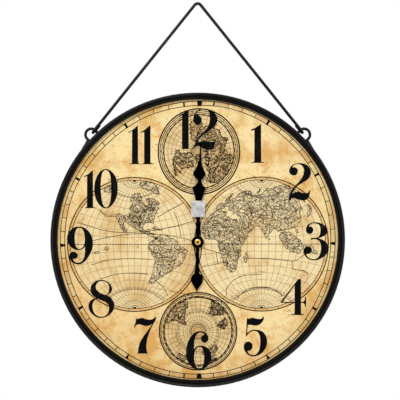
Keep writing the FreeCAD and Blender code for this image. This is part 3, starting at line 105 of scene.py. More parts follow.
# Numerals: knots of each outline, millimetres from the dial's middle
NUMERALS: dict[str, tuple[tuple[tuple, ...], ...]] = {
    "1": (
        (
            (66.1, 120.9, CORNER), (66.3, 81.8, CORNER), (67.0, 81.0), (69.2, 80.9, CORNER),
            (69.2, 80.1, CORNER), (55.6, 80.1, CORNER), (55.6, 80.8, CORNER), (58.4, 81.1),
            (59.1, 82.7, CORNER), (59.2, 114.4, CORNER), (56.0, 113.5, CORNER), (55.6, 115.0, CORNER),
            (59.6, 116.5), (63.3, 118.9),
        ),
    ),
    "2": (
        (
            (95.6, 72.9), (97.0, 76.0), (99.6, 78.4), (103.4, 79.6), (107.2, 79.8), (111.3, 79.1),
            (114.9, 77.1), (117.4, 73.8), (118.2, 70.3), (117.4, 66.4), (114.7, 62.8), (110.1, 59.7),
            (104.9, 56.4), (101.1, 52.6), (98.4, 47.6, CORNER), (101.9, 49.6), (106.0, 49.8), (109.9, 48.7),
            (113.6, 48.6), (115.9, 49.9), (116.9, 52.0, CORNER), (117.5, 51.6, CORNER), (117.0, 48.0),
            (115.9, 44.5), (114.5, 42.2), (111.5, 41.1), (107.4, 41.2), (103.0, 42.4), (99.2, 43.2),
            (96.9, 42.4), (95.6, 40.6, CORNER), (94.9, 40.9, CORNER), (95.3, 44.5), (96.4, 48.4),
            (98.6, 52.6), (102.1, 56.6), (106.1, 60.8), (109.2, 65.4), (110.7, 70.2), (110.6, 74.1),
            (108.9, 77.1), (106.1, 78.6), (102.8, 78.7), (100.1, 77.5), (98.6, 75.4, CORNER), (101.5, 75.4),
            (103.9, 73.7), (104.4, 70.9), (103.2, 68.2), (100.5, 67.0), (97.6, 67.8), (95.8, 69.9),
        ),
    ),
    "3": (
        (
            (112.9, 10.5), (113.7, 13.6), (115.9, 16.3), (119.3, 17.8), (123.4, 18.1), (127.6, 17.3),
            (131.4, 15.6), (134.5, 12.8), (135.6, 9.6), (134.8, 6.5), (132.0, 4.0), (125.9, 1.5, CORNER),
            (129.7, 0.1), (133.5, -2.3), (136.0, -5.8), (136.7, -9.6), (135.5, -13.5), (132.6, -17.0),
            (128.4, -19.8), (123.9, -21.4), (119.1, -21.4), (115.1, -19.9), (112.1, -17.0), (110.5, -13.5),
            (110.5, -10.4), (112.2, -8.2), (114.9, -7.3), (117.6, -8.1), (119.2, -10.4), (118.5, -13.1),
            (116.3, -14.7), (113.2, -15.2, CORNER), (115.0, -18.1), (117.8, -19.8), (121.3, -20.3),
            (124.5, -19.4), (126.9, -16.4), (128.3, -12.3), (128.7, -7.9), (127.9, -3.7), (126.1, -0.9),
            (123.4, 0.3), (120.7, 0.4), (118.6, -0.4, CORNER), (118.0, 0.7, CORNER), (118.6, 1.7, CORNER),
            (122.0, 2.0), (125.1, 2.5), (127.1, 4.6), (128.0, 8.4), (127.9, 12.1), (126.8, 15.1),
            (124.3, 16.6), (120.7, 17.0), (117.8, 15.9), (116.1, 13.6, CORNER), (118.6, 13.5), (120.4, 11.4),
            (120.4, 8.6), (118.6, 6.5), (116.1, 6.0), (113.8, 7.3),
        ),
    ),
    "4": (
        (
            (104.9, -41.1, CORNER), (107.8, -41.1, CORNER), (107.8, -64.9, CORNER), (110.3, -64.7),
            (111.6, -62.8), (112.0, -59.7, CORNER), (113.1, -59.7, CORNER), (113.1, -70.2, CORNER),
            (112.0, -70.2, CORNER), (111.5, -67.8), (110.1, -66.2), (107.8, -66.0, CORNER),
            (107.8, -76.9, CORNER), (108.6, -77.7), (110.9, -77.8, CORNER), (110.9, -78.7, CORNER),
            (96.7, -78.7, CORNER), (96.7, -77.8, CORNER), (99.9, -77.7), (101.1, -76.8, CORNER),
            (101.1, -66.0, CORNER), (87.1, -66.0, CORNER), (86.9, -64.3, CORNER),
        ),
        ((101.1, -64.9, CORNER), (88.8, -64.9, CORNER), (101.1, -47.8, CORNER)),
    ),
    "5": (
        (
            (51.3, -81.4, CORNER), (52.4, -82.7, CORNER), (54.6, -82.1), (57.7, -81.6), (60.8, -82.3),
            (64.2, -82.8), (66.7, -82.3), (68.2, -80.2, CORNER), (69.2, -80.6, CORNER), (68.7, -83.5),
            (66.5, -86.9), (63.5, -89.1), (60.2, -89.7), (56.0, -89.1), (52.3, -89.0, CORNER),
            (51.5, -97.6, CORNER), (54.6, -95.2), (57.7, -94.1), (61.2, -94.0), (65.4, -94.9), (69.0, -97.2),
            (71.5, -101.2), (72.5, -105.8), (71.9, -110.6), (69.8, -115.0), (66.3, -118.9), (62.1, -121.2),
            (57.7, -121.9), (53.7, -120.9), (50.4, -118.1), (48.6, -115.0), (48.1, -111.2), (49.3, -108.1),
            (52.3, -106.4), (55.2, -107.2), (57.1, -110.2), (56.7, -113.5), (54.6, -115.7),
            (51.9, -116.2, CORNER), (53.5, -118.9), (56.7, -120.3), (60.2, -120.0), (62.7, -117.7),
            (64.4, -113.9), (65.2, -108.9), (65.2, -103.5), (64.3, -99.2), (62.3, -96.4), (59.2, -95.2),
            (55.6, -96.1), (52.9, -98.1), (51.2, -100.7, CORNER), (50.3, -100.6, CORNER),
        ),
    ),
    "6": (
        (
            (0.9, -95.5), (5.1, -95.8), (8.7, -97.6), (10.8, -100.8), (11.2, -103.9), (9.7, -106.6),
            (7.2, -107.8), (4.7, -106.4), (3.4, -103.9), (3.9, -101.2), (7.2, -98.8, CORNER), (4.9, -97.3),
            (2.0, -97.0), (-0.5, -98.5), (-2.5, -102.2), (-3.6, -107.2), (-3.9, -114.3, CORNER),
            (-2.4, -112.4), (-0.3, -111.2), (2.6, -110.7), (6.4, -111.1), (9.9, -112.9), (12.8, -116.2),
            (14.2, -120.4), (13.9, -125.4), (12.0, -129.8), (8.7, -133.3), (5.1, -135.4), (1.3, -136.0),
            (-2.4, -135.3), (-6.2, -132.7), (-9.7, -128.3), (-11.9, -123.1), (-12.3, -117.7), (-11.6, -111.8),
            (-9.7, -106.0), (-6.8, -100.8), (-3.0, -97.0),
        ),
        (
            (1.6, -112.0), (-1.2, -113.3), (-2.8, -116.4), (-3.6, -120.8), (-3.6, -125.6), (-2.6, -130.4),
            (-0.5, -134.0), (1.6, -134.8), (3.9, -133.9), (5.7, -130.2), (6.6, -125.0), (6.5, -119.3),
            (5.5, -115.0), (3.9, -112.7),
        ),
    ),
    "7": (
        (
            (-64.1, -81.6, CORNER), (-63.0, -83.0, CORNER), (-60.6, -82.1), (-57.7, -81.8), (-54.6, -82.7),
            (-51.2, -83.5), (-48.1, -83.3), (-45.8, -82.2), (-44.4, -80.5, CORNER), (-43.1, -80.9, CORNER),
            (-43.7, -83.5), (-45.4, -86.4), (-47.3, -89.7), (-49.2, -93.7), (-50.8, -98.1), (-52.3, -102.7),
            (-53.3, -107.9), (-53.5, -113.1), (-52.8, -117.1), (-51.9, -118.9, CORNER),
            (-62.4, -118.9, CORNER), (-62.3, -115.8), (-61.4, -111.4), (-60.0, -107.0), (-57.7, -102.7),
            (-54.6, -98.1), (-51.2, -93.5), (-47.5, -87.8, CORNER), (-49.4, -89.1), (-52.3, -90.1),
            (-55.6, -89.9), (-58.8, -88.9), (-61.5, -88.5), (-63.8, -89.1), (-65.0, -90.3),
            (-65.8, -92.3, CORNER), (-66.6, -91.8, CORNER), (-65.8, -89.1), (-64.7, -85.5),
        ),
    ),
    "8": (
        (
            (-100.3, -42.1), (-96.5, -42.7), (-93.0, -44.8), (-90.5, -48.0), (-89.2, -51.5), (-90.3, -54.7),
            (-94.7, -58.0, CORNER), (-91.1, -60.2), (-88.6, -63.2), (-87.1, -67.2), (-87.4, -72.0),
            (-89.4, -75.7), (-92.8, -78.9), (-96.7, -80.9), (-100.9, -81.7), (-104.9, -81.2), (-108.8, -78.9),
            (-112.2, -75.3), (-113.9, -70.9), (-113.6, -66.8), (-111.8, -63.6), (-106.3, -60.6, CORNER),
            (-109.3, -58.4), (-111.4, -54.9), (-111.8, -51.1), (-110.7, -47.3), (-107.8, -44.2),
            (-104.0, -42.5),
        ),
        (
            (-100.3, -43.3), (-103.6, -44.2), (-105.7, -46.7), (-106.3, -49.9), (-105.3, -52.6),
            (-102.6, -55.1), (-99.2, -56.7), (-95.2, -57.6, CORNER), (-93.6, -55.9), (-92.6, -52.8),
            (-92.6, -48.8), (-94.0, -45.7), (-96.7, -43.9),
        ),
        (
            (-104.7, -61.7, CORNER), (-107.0, -62.7), (-108.8, -65.1), (-109.8, -68.8), (-109.3, -73.2),
            (-107.6, -76.8), (-104.5, -79.5), (-100.5, -80.4), (-96.7, -79.5), (-94.0, -76.8), (-92.7, -72.4),
            (-93.0, -68.8), (-95.1, -66.0), (-98.2, -64.3),
        ),
    ),
    "9": (
        (
            (-123.2, 13.6), (-119.1, 12.7), (-115.5, 10.5), (-112.4, 6.9), (-110.3, 2.3), (-109.3, -3.5),
            (-110.1, -9.6), (-112.4, -15.0), (-115.3, -19.8), (-118.4, -23.3), (-121.8, -25.4),
            (-125.3, -25.9), (-129.1, -24.8), (-132.2, -22.3), (-133.9, -19.0), (-133.7, -15.4),
            (-131.8, -13.1), (-129.1, -12.6), (-126.2, -14.2), (-125.1, -16.9), (-126.2, -19.3),
            (-130.2, -20.2, CORNER), (-128.9, -22.5), (-126.8, -23.8), (-124.1, -24.0), (-121.4, -22.9),
            (-119.1, -19.8), (-117.9, -15.8), (-117.5, -10.8), (-117.5, -6.9, CORNER), (-118.9, -8.7),
            (-121.2, -10.3), (-123.9, -10.9), (-127.2, -10.5), (-130.8, -8.9), (-133.9, -6.0), (-136.1, -1.6),
            (-136.2, 2.9), (-134.5, 7.5), (-131.4, 11.1), (-127.6, 13.2),
        ),
        (
            (-123.5, 12.3), (-126.0, 11.3), (-127.6, 8.4), (-128.3, 3.8), (-128.2, -1.4), (-127.4, -6.0),
            (-125.8, -8.9), (-123.5, -9.8), (-120.7, -8.6), (-118.9, -6.0), (-117.8, -1.4), (-118.0, 3.8),
            (-119.1, 8.6), (-121.0, 11.5),
        ),
    ),
    "10": (
        (
            (-109.3, 72.8, CORNER), (-109.2, 34.3, CORNER), (-108.2, 33.6), (-106.1, 33.5, CORNER),
            (-106.1, 32.8, CORNER), (-117.4, 32.8, CORNER), (-117.4, 33.5, CORNER), (-115.6, 34.3, CORNER),
            (-115.4, 66.4, CORNER), (-118.4, 65.4, CORNER), (-118.8, 66.3, CORNER), (-115.1, 67.9),
            (-112.2, 70.2),
        ),
        (
            (-96.1, 73.7), (-92.4, 72.8), (-88.6, 69.7), (-85.7, 65.1), (-84.0, 59.5), (-83.5, 52.8),
            (-84.4, 45.9), (-86.7, 39.9), (-90.1, 35.3), (-93.6, 33.0), (-96.7, 32.6), (-100.5, 34.3),
            (-104.0, 38.2), (-106.6, 43.4), (-107.8, 49.7), (-107.8, 56.6), (-106.3, 63.3), (-103.6, 68.7),
            (-100.1, 72.4),
        ),
        (
            (-96.3, 72.6), (-98.8, 71.0), (-100.3, 66.8), (-101.0, 61.2), (-101.2, 53.9), (-100.7, 46.6),
            (-99.7, 39.9), (-98.0, 35.3), (-95.9, 33.7), (-93.4, 34.8), (-91.5, 39.3), (-90.5, 46.2),
            (-90.3, 53.9), (-90.7, 61.6), (-91.6, 68.1), (-93.7, 71.7),
        ),
    ),
    "11": (
        (
            (-62.4, 119.5, CORNER), (-62.2, 80.4, CORNER), (-61.4, 79.5), (-56.9, 79.5),
            (-55.9, 80.4, CORNER), (-55.9, 112.5, CORNER), (-59.0, 111.5, CORNER), (-59.3, 112.5, CORNER),
            (-56.0, 114.2), (-52.7, 116.9), (-49.3, 119.7, CORNER), (-49.3, 80.4, CORNER), (-48.4, 79.6),
            (-45.7, 79.5, CORNER), (-45.7, 78.7, CORNER), (-71.3, 78.7, CORNER), (-71.3, 79.4, CORNER),
            (-69.3, 79.6), (-68.6, 80.6, CORNER), (-68.5, 113.4, CORNER), (-72.2, 111.4, CORNER),
            (-72.6, 112.3, CORNER), (-69.0, 114.0), (-65.6, 116.5),
        ),
    ),
    "12": (
        (
            (-9.5, 135.9, CORNER), (-9.5, 95.5, CORNER), (-8.4, 94.5, CORNER), (-17.5, 94.5, CORNER),
            (-16.4, 95.5, CORNER), (-16.4, 129.5, CORNER), (-19.1, 128.7, CORNER), (-19.2, 129.8, CORNER),
            (-16.0, 131.5), (-12.8, 133.4),
        ),
        (
            (-4.6, 126.3), (-3.6, 130.5), (-0.8, 134.3), (2.9, 136.2), (7.8, 136.6), (12.3, 135.8),
            (16.5, 133.3), (19.7, 129.1), (20.5, 124.8), (19.1, 120.0), (15.1, 115.6), (8.9, 111.4),
            (3.9, 107.6), (-0.5, 101.4, CORNER), (3.0, 102.3), (7.1, 103.0), (11.3, 102.4), (15.5, 102.0),
            (18.0, 102.6), (19.3, 104.8, CORNER), (18.5, 100.6), (17.0, 96.7), (16.0, 94.2, CORNER),
            (12.3, 93.6), (8.1, 94.4), (4.0, 96.4), (0.7, 97.6), (-2.0, 97.0), (-4.5, 93.8, CORNER),
            (-5.1, 94.3, CORNER), (-3.6, 98.1), (-2.2, 101.9), (0.7, 106.4), (5.7, 112.1), (9.9, 116.6),
            (12.0, 121.3), (12.7, 126.9), (12.1, 132.1), (9.9, 135.2), (5.9, 135.7), (1.8, 134.7),
            (-1.2, 132.2), (-2.4, 129.5, CORNER), (0.9, 129.7), (3.6, 127.3), (3.9, 123.4), (2.0, 120.7),
            (-0.5, 119.9), (-3.0, 121.1), (-4.4, 123.6),
        ),
    ),
}

# Continents and isles: plain outlines as longitude and latitude in degrees
LANDS: dict[str, Outline] = {
    "indies": (
        (98, 15), (104, 17), (111, 15), (118, 9), (124, 5), (130, -3), (124, -11), (113, -10), (105, -5),
        (99, 3), (96, 10),
    ),
    "tartary": (
        (160, 62), (170, 66), (176, 56), (172, 44), (166, 32), (164, 20), (154, 12), (142, 14), (138, 22),
        (138, 29), (144, 35), (146, 42), (151, 48), (157, 54),
    ),
    "southern_isles": ((48, -10), (52, -28), (58, -36), (66, -31), (70, -22), (64, -11), (56, -7)),
    "atolls": ((-152, -4), (-156, -14), (-164, -12), (-168, -18), (-174, -10), (-168, -3)),
    "ice_edge": (
        (-179, -37), (-150, -34), (-120, -30), (-100, -36), (-75, -31), (-50, -36), (-20, -33), (10, -37),
        (40, -34), (70, -37), (100, -33), (130, -37), (160, -34), (179, -36),
    ),
    "north_america": (
        (-120, 66), (-112, 71), (-100, 72), (-92, 70), (-90, 64), (-94, 60), (-88, 56), (-82, 53), (-79, 52),
        (-79, 60), (-74, 62), (-66, 60), (-60, 55), (-56, 51), (-66, 49), (-61, 46), (-68, 44), (-71, 41),
        (-76, 36), (-81, 31), (-80, 26), (-83, 29), (-90, 30), (-97, 27), (-97, 21), (-94, 18), (-90, 21),
        (-87, 20), (-88, 16), (-83, 15), (-83, 10), (-79, 9), (-77, 8), (-81, 7), (-86, 11), (-92, 14),
        (-98, 16), (-105, 20), (-112, 24), (-120, 29), (-128, 34), (-130, 38), (-124, 41), (-117, 44),
        (-119, 52), (-114, 58), (-121, 62),
    ),
    "island_california": (
        (-137, 42), (-141, 38), (-136, 30), (-130, 22), (-124, 17), (-122, 20), (-127, 28), (-132, 36),
        (-133, 41),
    ),
    "south_america": (
        (-80, 9), (-72, 12), (-64, 11), (-60, 8), (-52, 5), (-49, 0), (-43, -3), (-34, -7), (-37, -13),
        (-40, -21), (-48, -27), (-53, -33), (-58, -36), (-62, -40), (-67, -45), (-71, -50), (-77, -53),
        (-80, -50), (-78, -43), (-78, -34), (-79, -26), (-80, -18), (-86, -12), (-91, -5), (-89, 2), (-83, 6),
    ),
    "greenland": (
        (-72, 78), (-60, 82), (-35, 83), (-20, 80), (-22, 70), (-34, 66), (-43, 60), (-51, 64), (-54, 70),
    ),
    "east_siberia": (
        (-199, 61), (-199, 70), (-190, 70), (-176, 68), (-170, 66), (-178, 63), (-188, 60), (-196, 59),
    ),
    "cuba": ((-84, 22), (-78, 23), (-74, 20), (-78, 20)),
    "hispaniola": ((-73, 20), (-68, 19), (-70, 18), (-74, 18)),
    "europe_asia": (
        (-9, 43), (-9, 37), (-5, 36), (0, 39), (4, 43), (9, 44), (13, 41), (17, 39), (14, 44), (19, 42),
        (23, 37), (24, 40), (27.5, 42), (30, 46), (36, 46), (41, 41.5), (34, 41.5), (29, 40.8), (27, 38),
        (32, 36), (36, 36), (35, 31), (38, 26), (43, 15), (45, 13), (55, 18), (59, 23), (54, 25), (50, 29),
        (57, 26), (66, 25), (70, 21), (73, 17), (77, 8), (80, 13), (86, 20), (91, 22), (95, 17), (100, 18),
        (106, 19), (111, 20), (123, 21), (131, 28), (135, 35), (140, 38), (141, 36), (143, 43), (148, 49),
        (154, 54), (158, 60), (159, 69), (140, 73), (115, 74), (98, 77), (80, 73), (68, 69), (60, 69),
        (45, 67), (40, 65), (34, 67), (41, 68), (28, 71), (16, 69), (6, 62), (8, 58), (12, 57), (18, 61),
        (24, 65), (22, 60), (28, 59), (21, 56), (12, 54), (8, 56), (4, 52), (-4, 48), (-1, 45),
    ),
    "africa": (
        (-6, 35), (4, 37), (10, 37), (11, 33), (20, 31), (31, 31), (35, 27), (38, 20), (43, 12), (51, 12),
        (46, 3), (40, -5), (40, -15), (35, -21), (32, -28), (26, -34), (18, -34), (13, -22), (13, -12),
        (9, 0), (8, 5), (-2, 5), (-9, 5), (-16, 12), (-17, 20), (-12, 27),
    ),
    "britain": ((-5, 50), (1, 51), (0, 54), (-3, 58), (-6, 57), (-4, 54)),
    "madagascar": ((49, -12), (50, -16), (47, -25), (44, -24), (44, -17)),
    "ceylon": ((80, 9), (82, 7), (81, 6)),
    "luzon": ((120, 16), (122, 18), (124, 13), (121, 13)),
    "japan": ((143, 29), (147, 33), (152, 35), (154, 40), (156, 37), (154, 33), (148, 30)),
    "yezo": ((153, 43), (153, 46), (157, 44)),
    "new_guinea": ((131, -1), (136, -2), (142, -3), (148, -7), (150, -10), (143, -9), (137, -8), (133, -4)),
    "australia": (
        (114, -22), (121, -19), (129, -14), (136, -12), (137, -16), (140, -17), (142, -11), (146, -19),
        (153, -26), (150, -37), (144, -39), (138, -35), (131, -32), (124, -33), (116, -35),
    ),
    "novaya": ((54, 71), (60, 76), (67, 77), (58, 73)),
    "pacific_isles_a": ((-171, -9), (-164, -8), (-160, -10), (-166, -11)),
    "pacific_isles_b": ((-178, -6), (-174, -5), (-173, -8), (-177, -9)),
    "pacific_isles_c": ((-152, -4), (-147, -3), (-147, -6), (-151, -7)),
}

# Old sea routes and circles of the two large charts, millimetres from the dial's middle
WEST_LINES: tuple[Outline, ...] = (
    ((-124.9, 18.4), (-104, 11.1), (-82.1, 7.6), (-55, 8.5), (-28.9, 12.7), (-3.9, 19.4)),
    ((-110.3, -1.2), (-94.7, 2.1), (-75.9, 5.2), (-55, 6.3), (-34.1, 4.8), (-18.5, 2.1), (-5.5, -1.2)),
    ((-110.8, -26.4), (-92.6, -21.3), (-70.7, -19.8), (-48.7, -20.7)),
    ((-102, -41.1), (-84.7, -36.1), (-68.6, -35), (-52.9, -36.1)),
    ((-44.6, -42.1), (-36.2, -49.4), (-31.2, -58.8)),
    ((-102.5, 31.4), (-97.8, 27.3), (-91.5, 25.5), (-84.7, 26.1)),
    ((-100.9, 28.8), (-95.7, 24.7), (-85.3, 24)),
    ((-24.7, 28.8), (-21.6, 21.5), (-19.1, 12.1), (-17.4, 2.7)),
    ((-42.5, 23.1), (-28.9, 30.9), (-15.3, 38.7)),
)
EAST_LINES: tuple[Outline, ...] = (
    ((3.4, -28.6), (17, -26), (31.6, -22.3)),
    ((52.5, -19.4), (75.4, -20.2), (99.4, -22.6)),
    ((66.7, -36.1), (54.6, -36.7), (46.2, -38), (37.9, -42.1), (34.1, -45.9), (29.9, -51.5), (30.4, -59.9)),
    (
        (40.6, -63.6), (44.1, -57.8), (51.9, -52.5), (58.7, -50.4), (66.7, -49.6), (73.3, -50.2),
        (77.9, -51.5), (83.8, -54.6), (88.2, -58.8),
    ),
    ((19.1, -12.9), (20.1, -19.2), (21.2, -26.5)),
    (
        (118.9, -12.9), (113.3, -14.7), (108.5, -17.4), (103.6, -21.3), (98.9, -23), (99.1, -30.3),
        (105, -31.7), (110.6, -32.4), (113.3, -34.3), (115.4, -37.2),
    ),
    ((5.5, -8.6), (17, -12.4), (29.2, -16)),
)


def linear(colour: Colour) -> tuple[float, float, float, float]:
    """Turns a 0 to 255 colour into Blender's linear one.

    Args:
        colour: red, green and blue as seen on a screen.

    Returns:
        The linear colour with full alpha.
    """
    parts = [c / 255 for c in colour]
    r, g, b = (p / 12.92 if p <= 0.04045 else ((p + 0.055) / 1.055) ** 2.4 for p in parts)
    return (r, g, b, 1.0)


def clear() -> None:
    """Leaves edit mode and deselects everything."""
    if bpy.context.object and bpy.context.object.mode != "OBJECT":
        bpy.ops.object.mode_set(mode="OBJECT")
    bpy.ops.object.select_all(action="DESELECT")


def pick(obj: Piece) -> None:
    """Makes one object the active and only selected one.

    Args:
        obj: the object.
    """
    clear()
    obj.select_set(True)
    bpy.context.view_layer.objects.active = obj


def choose(obj: Piece, chosen: Callable[[Vector], bool]) -> None:
    """Opens the active mesh for editing, with some of its corners selected.

    Args:
        obj: the mesh.
        chosen: tells from its place whether a corner is selected.
    """
    bpy.ops.object.mode_set(mode="EDIT")
    bpy.ops.mesh.select_mode(type="VERT")
    bpy.ops.mesh.select_all(action="DESELECT")
    bpy.ops.object.mode_set(mode="OBJECT")
    for vertex in obj.data.vertices:
        vertex.select = chosen(vertex.co)
    bpy.ops.object.mode_set(mode="EDIT")


def weld(outwards: bool = True) -> None:
    """Joins the corners of the active mesh where they meet.

    Args:
        outwards: also turns its faces outwards.
    """
    bpy.ops.object.mode_set(mode="EDIT")
    bpy.ops.mesh.select_all(action="SELECT")
    bpy.ops.mesh.remove_doubles(threshold=WELD)
    if outwards:
        bpy.ops.mesh.normals_make_consistent(inside=False)
    bpy.ops.object.mode_set(mode="OBJECT")


def stand(obj: Piece, scale: Sequence[float], place: Sequence[float]) -> None:
    """Turns the active flat piece upright, with its size and place in the mesh.

    Args:
        obj: the piece.
        scale: its scale while it lies flat.
        place: where its middle goes.
    """
    obj.rotation_euler = UPRIGHT
    obj.scale = scale
    obj.location = place
    bpy.ops.object.transform_apply(location=True, rotation=True, scale=True)


class Tree:
    """A node tree while it is being wired."""

    def __init__(self, tree: bpy.types.NodeTree) -> None:
        """Starts from the tree that gets the nodes."""
        self.tree = tree

    def feed(self, node: Node, name: str | int, value: object) -> None:
        """Sets or links an input of a node.

        Args:
            node: the node.
            name: the input's name or number.
            value: its value, or the output that goes there.
        """
        if isinstance(value, Socket):
            self.tree.links.new(value, node.inputs[name])
        else:
            node.inputs[name].default_value = value

    def add(self, kind: str, inputs: Mapping | None = None, **settings: object) -> Node:
        """Adds a node and feeds its inputs.

        Args:
            kind: Blender's name of the node's type.
            inputs: input's name or number to a value or an output.
            settings: the node's own properties.

        Returns:
            The new node.
        """
        node = self.tree.nodes.new(kind)
        for name, value in settings.items():
            setattr(node, name, value)
        for name, value in (inputs or {}).items():
            self.feed(node, name, value)
        return node

    def math(self, operation: str, *values: object) -> Socket:
        """Works something out with a Math node."""
        return self.add("ShaderNodeMath", dict(enumerate(values)), operation=operation).outputs[0]

    def mix(self, share: object, first: object, second: object) -> Socket:
        """Mixes a share of the second colour into the first."""
        return self.add("ShaderNodeMix", {0: share, 6: first, 7: second}, data_type="RGBA").outputs[2]

    def span(self, value: object, low: float, high: float, start: float = 0.0, end: float = 1.0) -> Socket:
        """Maps a value smoothly, so that low gives start and high gives end."""
        inputs = {"Value": value, "From Min": low, "From Max": high, "To Min": start, "To Max": end}
        return self.add("ShaderNodeMapRange", inputs, interpolation_type="SMOOTHSTEP").outputs[0]

    def noise(self, vector: object, scale: object, detail: float = 4.0, rough: float = 0.55) -> Socket:
        """Gives the grey value of a noise texture."""
        inputs = {"Vector": vector, "Scale": scale, "Detail": detail, "Roughness": rough}
        return self.add("ShaderNodeTexNoise", inputs).outputs[0]

    def here(self) -> Socket:
        """Gives the coordinates on the object."""
        return self.add("ShaderNodeTexCoord").outputs["Object"]

    def moved(self, vector: object, **mapping: object) -> Socket:
        """Shifts or scales coordinates by a Mapping node's inputs."""
        return self.add("ShaderNodeMapping", {"Vector": vector, **mapping}).outputs[0]

    def length(self, vector: object) -> Socket:
        """Gives a vector's length."""
        return self.add("ShaderNodeVectorMath", {0: vector}, operation="LENGTH").outputs["Value"]

    def seen(self) -> Socket:
        """Tells apart the rays that show what is behind or mirrored.

        Returns:
            1 for rays of the camera, of reflections and of see-through pieces.
        """
        path = self.add("ShaderNodeLightPath").outputs
        seen = self.math("MAXIMUM", path["Is Camera Ray"], path["Is Glossy Ray"])
        return self.math("MAXIMUM", seen, path["Is Transmission Ray"])


class Kind(Enum):
    """What a group's socket carries."""

    VALUE = "NodeSocketFloat"
    COLOUR = "NodeSocketColor"


@dataclass(frozen=True)
class Effect:
    """A node group that more than one finish uses."""

    name: str
    inputs: tuple[tuple[str, Kind, object], ...]
    output: tuple[str, Kind]
    wire: Callable[[Tree, Mapping], Socket]

    def group(self) -> bpy.types.NodeTree:
        """Builds the group once.

        Returns:
            The node group.
        """
        if self.name in bpy.data.node_groups:
            return bpy.data.node_groups[self.name]
        group = bpy.data.node_groups.new(self.name, "ShaderNodeTree")
        for name, kind, value in self.inputs:
            group.interface.new_socket(name, in_out="INPUT", socket_type=kind.value).default_value = value
        name, kind = self.output
        group.interface.new_socket(name, in_out="OUTPUT", socket_type=kind.value)
        tree = Tree(group)
        made = self.wire(tree, tree.add("NodeGroupInput").outputs)
        tree.add("NodeGroupOutput", {0: made})
        return group

    def place(self, tree: Tree, **values: object) -> Socket:
        """Puts the group in a material's tree, fed by its inputs' names in small letters."""
        inputs = {name.capitalize(): value for name, value in values.items()}
        return tree.add("ShaderNodeGroup", inputs, node_tree=self.group()).outputs[0]


FOXING = linear((186, 118, 58))
FLECKS = linear((150, 112, 66))


def wire_ageing(tree: Tree, given: Mapping) -> Socket:
    """Old paper: warm stains in big soft patches and a fine fleck, darker along the dial's edge and towards
    its lower left.

    Args:
        tree: the group's tree.
        given: the group's inputs.

    Returns:
        The aged colour.
    """
    middle = tree.moved(tree.here(), Location=(0.0, 0.0, -DIAL_Z))
    x, _, z = tree.add("ShaderNodeSeparateXYZ", {0: middle}).outputs
    flat = tree.add("ShaderNodeCombineXYZ", {0: x, 2: z}).outputs[0]
    # Darker in a band along the dial's edge next to the rim, and towards the lower left.
    rim = tree.span(tree.length(flat), 0.13, 0.15, 0.0, 0.09)
    corner = tree.span(tree.math("ADD", x, z), 0.02, -0.17, 0.0, 0.31)
    patches = tree.span(tree.noise(flat, 30.0, detail=6.0, rough=0.65), 0.44, 0.66, 0.0, 0.9)
    small = tree.span(tree.noise(flat, 190.0, detail=4.0, rough=0.7), 0.5, 0.7, 0.0, 0.65)
    both = tree.math("ADD", tree.math("ADD", patches, small), tree.math("ADD", rim, corner))
    share = tree.math("MULTIPLY", both, given["Amount"])
    stained = tree.mix(tree.math("MINIMUM", share, 1.0), given["Colour"], given["Stain"])
    crowd = tree.span(tree.noise(flat, 38.0, detail=3.0), 0.5, 0.64)
    dots = tree.span(tree.noise(flat, 330.0, detail=3.0, rough=0.6), 0.55, 0.66, 0.0, 0.8)
    spots = tree.math("MULTIPLY", crowd, dots)
    foxed = tree.mix(tree.math("MULTIPLY", spots, given["Amount"]), stained, FOXING)
    fleck = tree.span(tree.noise(flat, 1500.0, detail=2.0, rough=0.7), 0.54, 0.76, 0.0, 0.5)
    return tree.mix(tree.math("MULTIPLY", fleck, given["Amount"]), foxed, FLECKS)


def wire_wear(tree: Tree, given: Mapping) -> Socket:
    """Worn places: small ragged spots where a coat is thin.

    Args:
        tree: the group's tree.
        given: the group's inputs.

    Returns:
        A mask, 1 where the coat is gone.
    """
    place = tree.here()
    broad = tree.noise(place, given["Scale"], detail=3.0)
    fine = tree.noise(place, tree.math("MULTIPLY", given["Scale"], 9.0), detail=4.0, rough=0.7)
    spots = tree.math("MULTIPLY", tree.span(broad, 0.5, 0.68), tree.span(fine, 0.5, 0.62))
    return tree.math("MULTIPLY", spots, given["Amount"])


def wire_grain(tree: Tree, given: Mapping) -> Socket:
    """Gives a height for the fine tooth of paper, board, paint or moulded plastic."""
    return tree.noise(tree.here(), given["Scale"], detail=3.0, rough=0.6)


AGEING = Effect(
    "ageing",
    (
        ("Colour", Kind.COLOUR, linear((240, 213, 160))),
        ("Stain", Kind.COLOUR, linear((220, 172, 104))),
        ("Amount", Kind.VALUE, 1.0),
    ),
    ("Colour", Kind.COLOUR),
    wire_ageing,
)
WEAR = Effect(
    "wear", (("Scale", Kind.VALUE, 60.0), ("Amount", Kind.VALUE, 1.0)), ("Mask", Kind.VALUE), wire_wear
)
GRAIN = Effect("grain", (("Scale", Kind.VALUE, 900.0),), ("Height", Kind.VALUE), wire_grain)


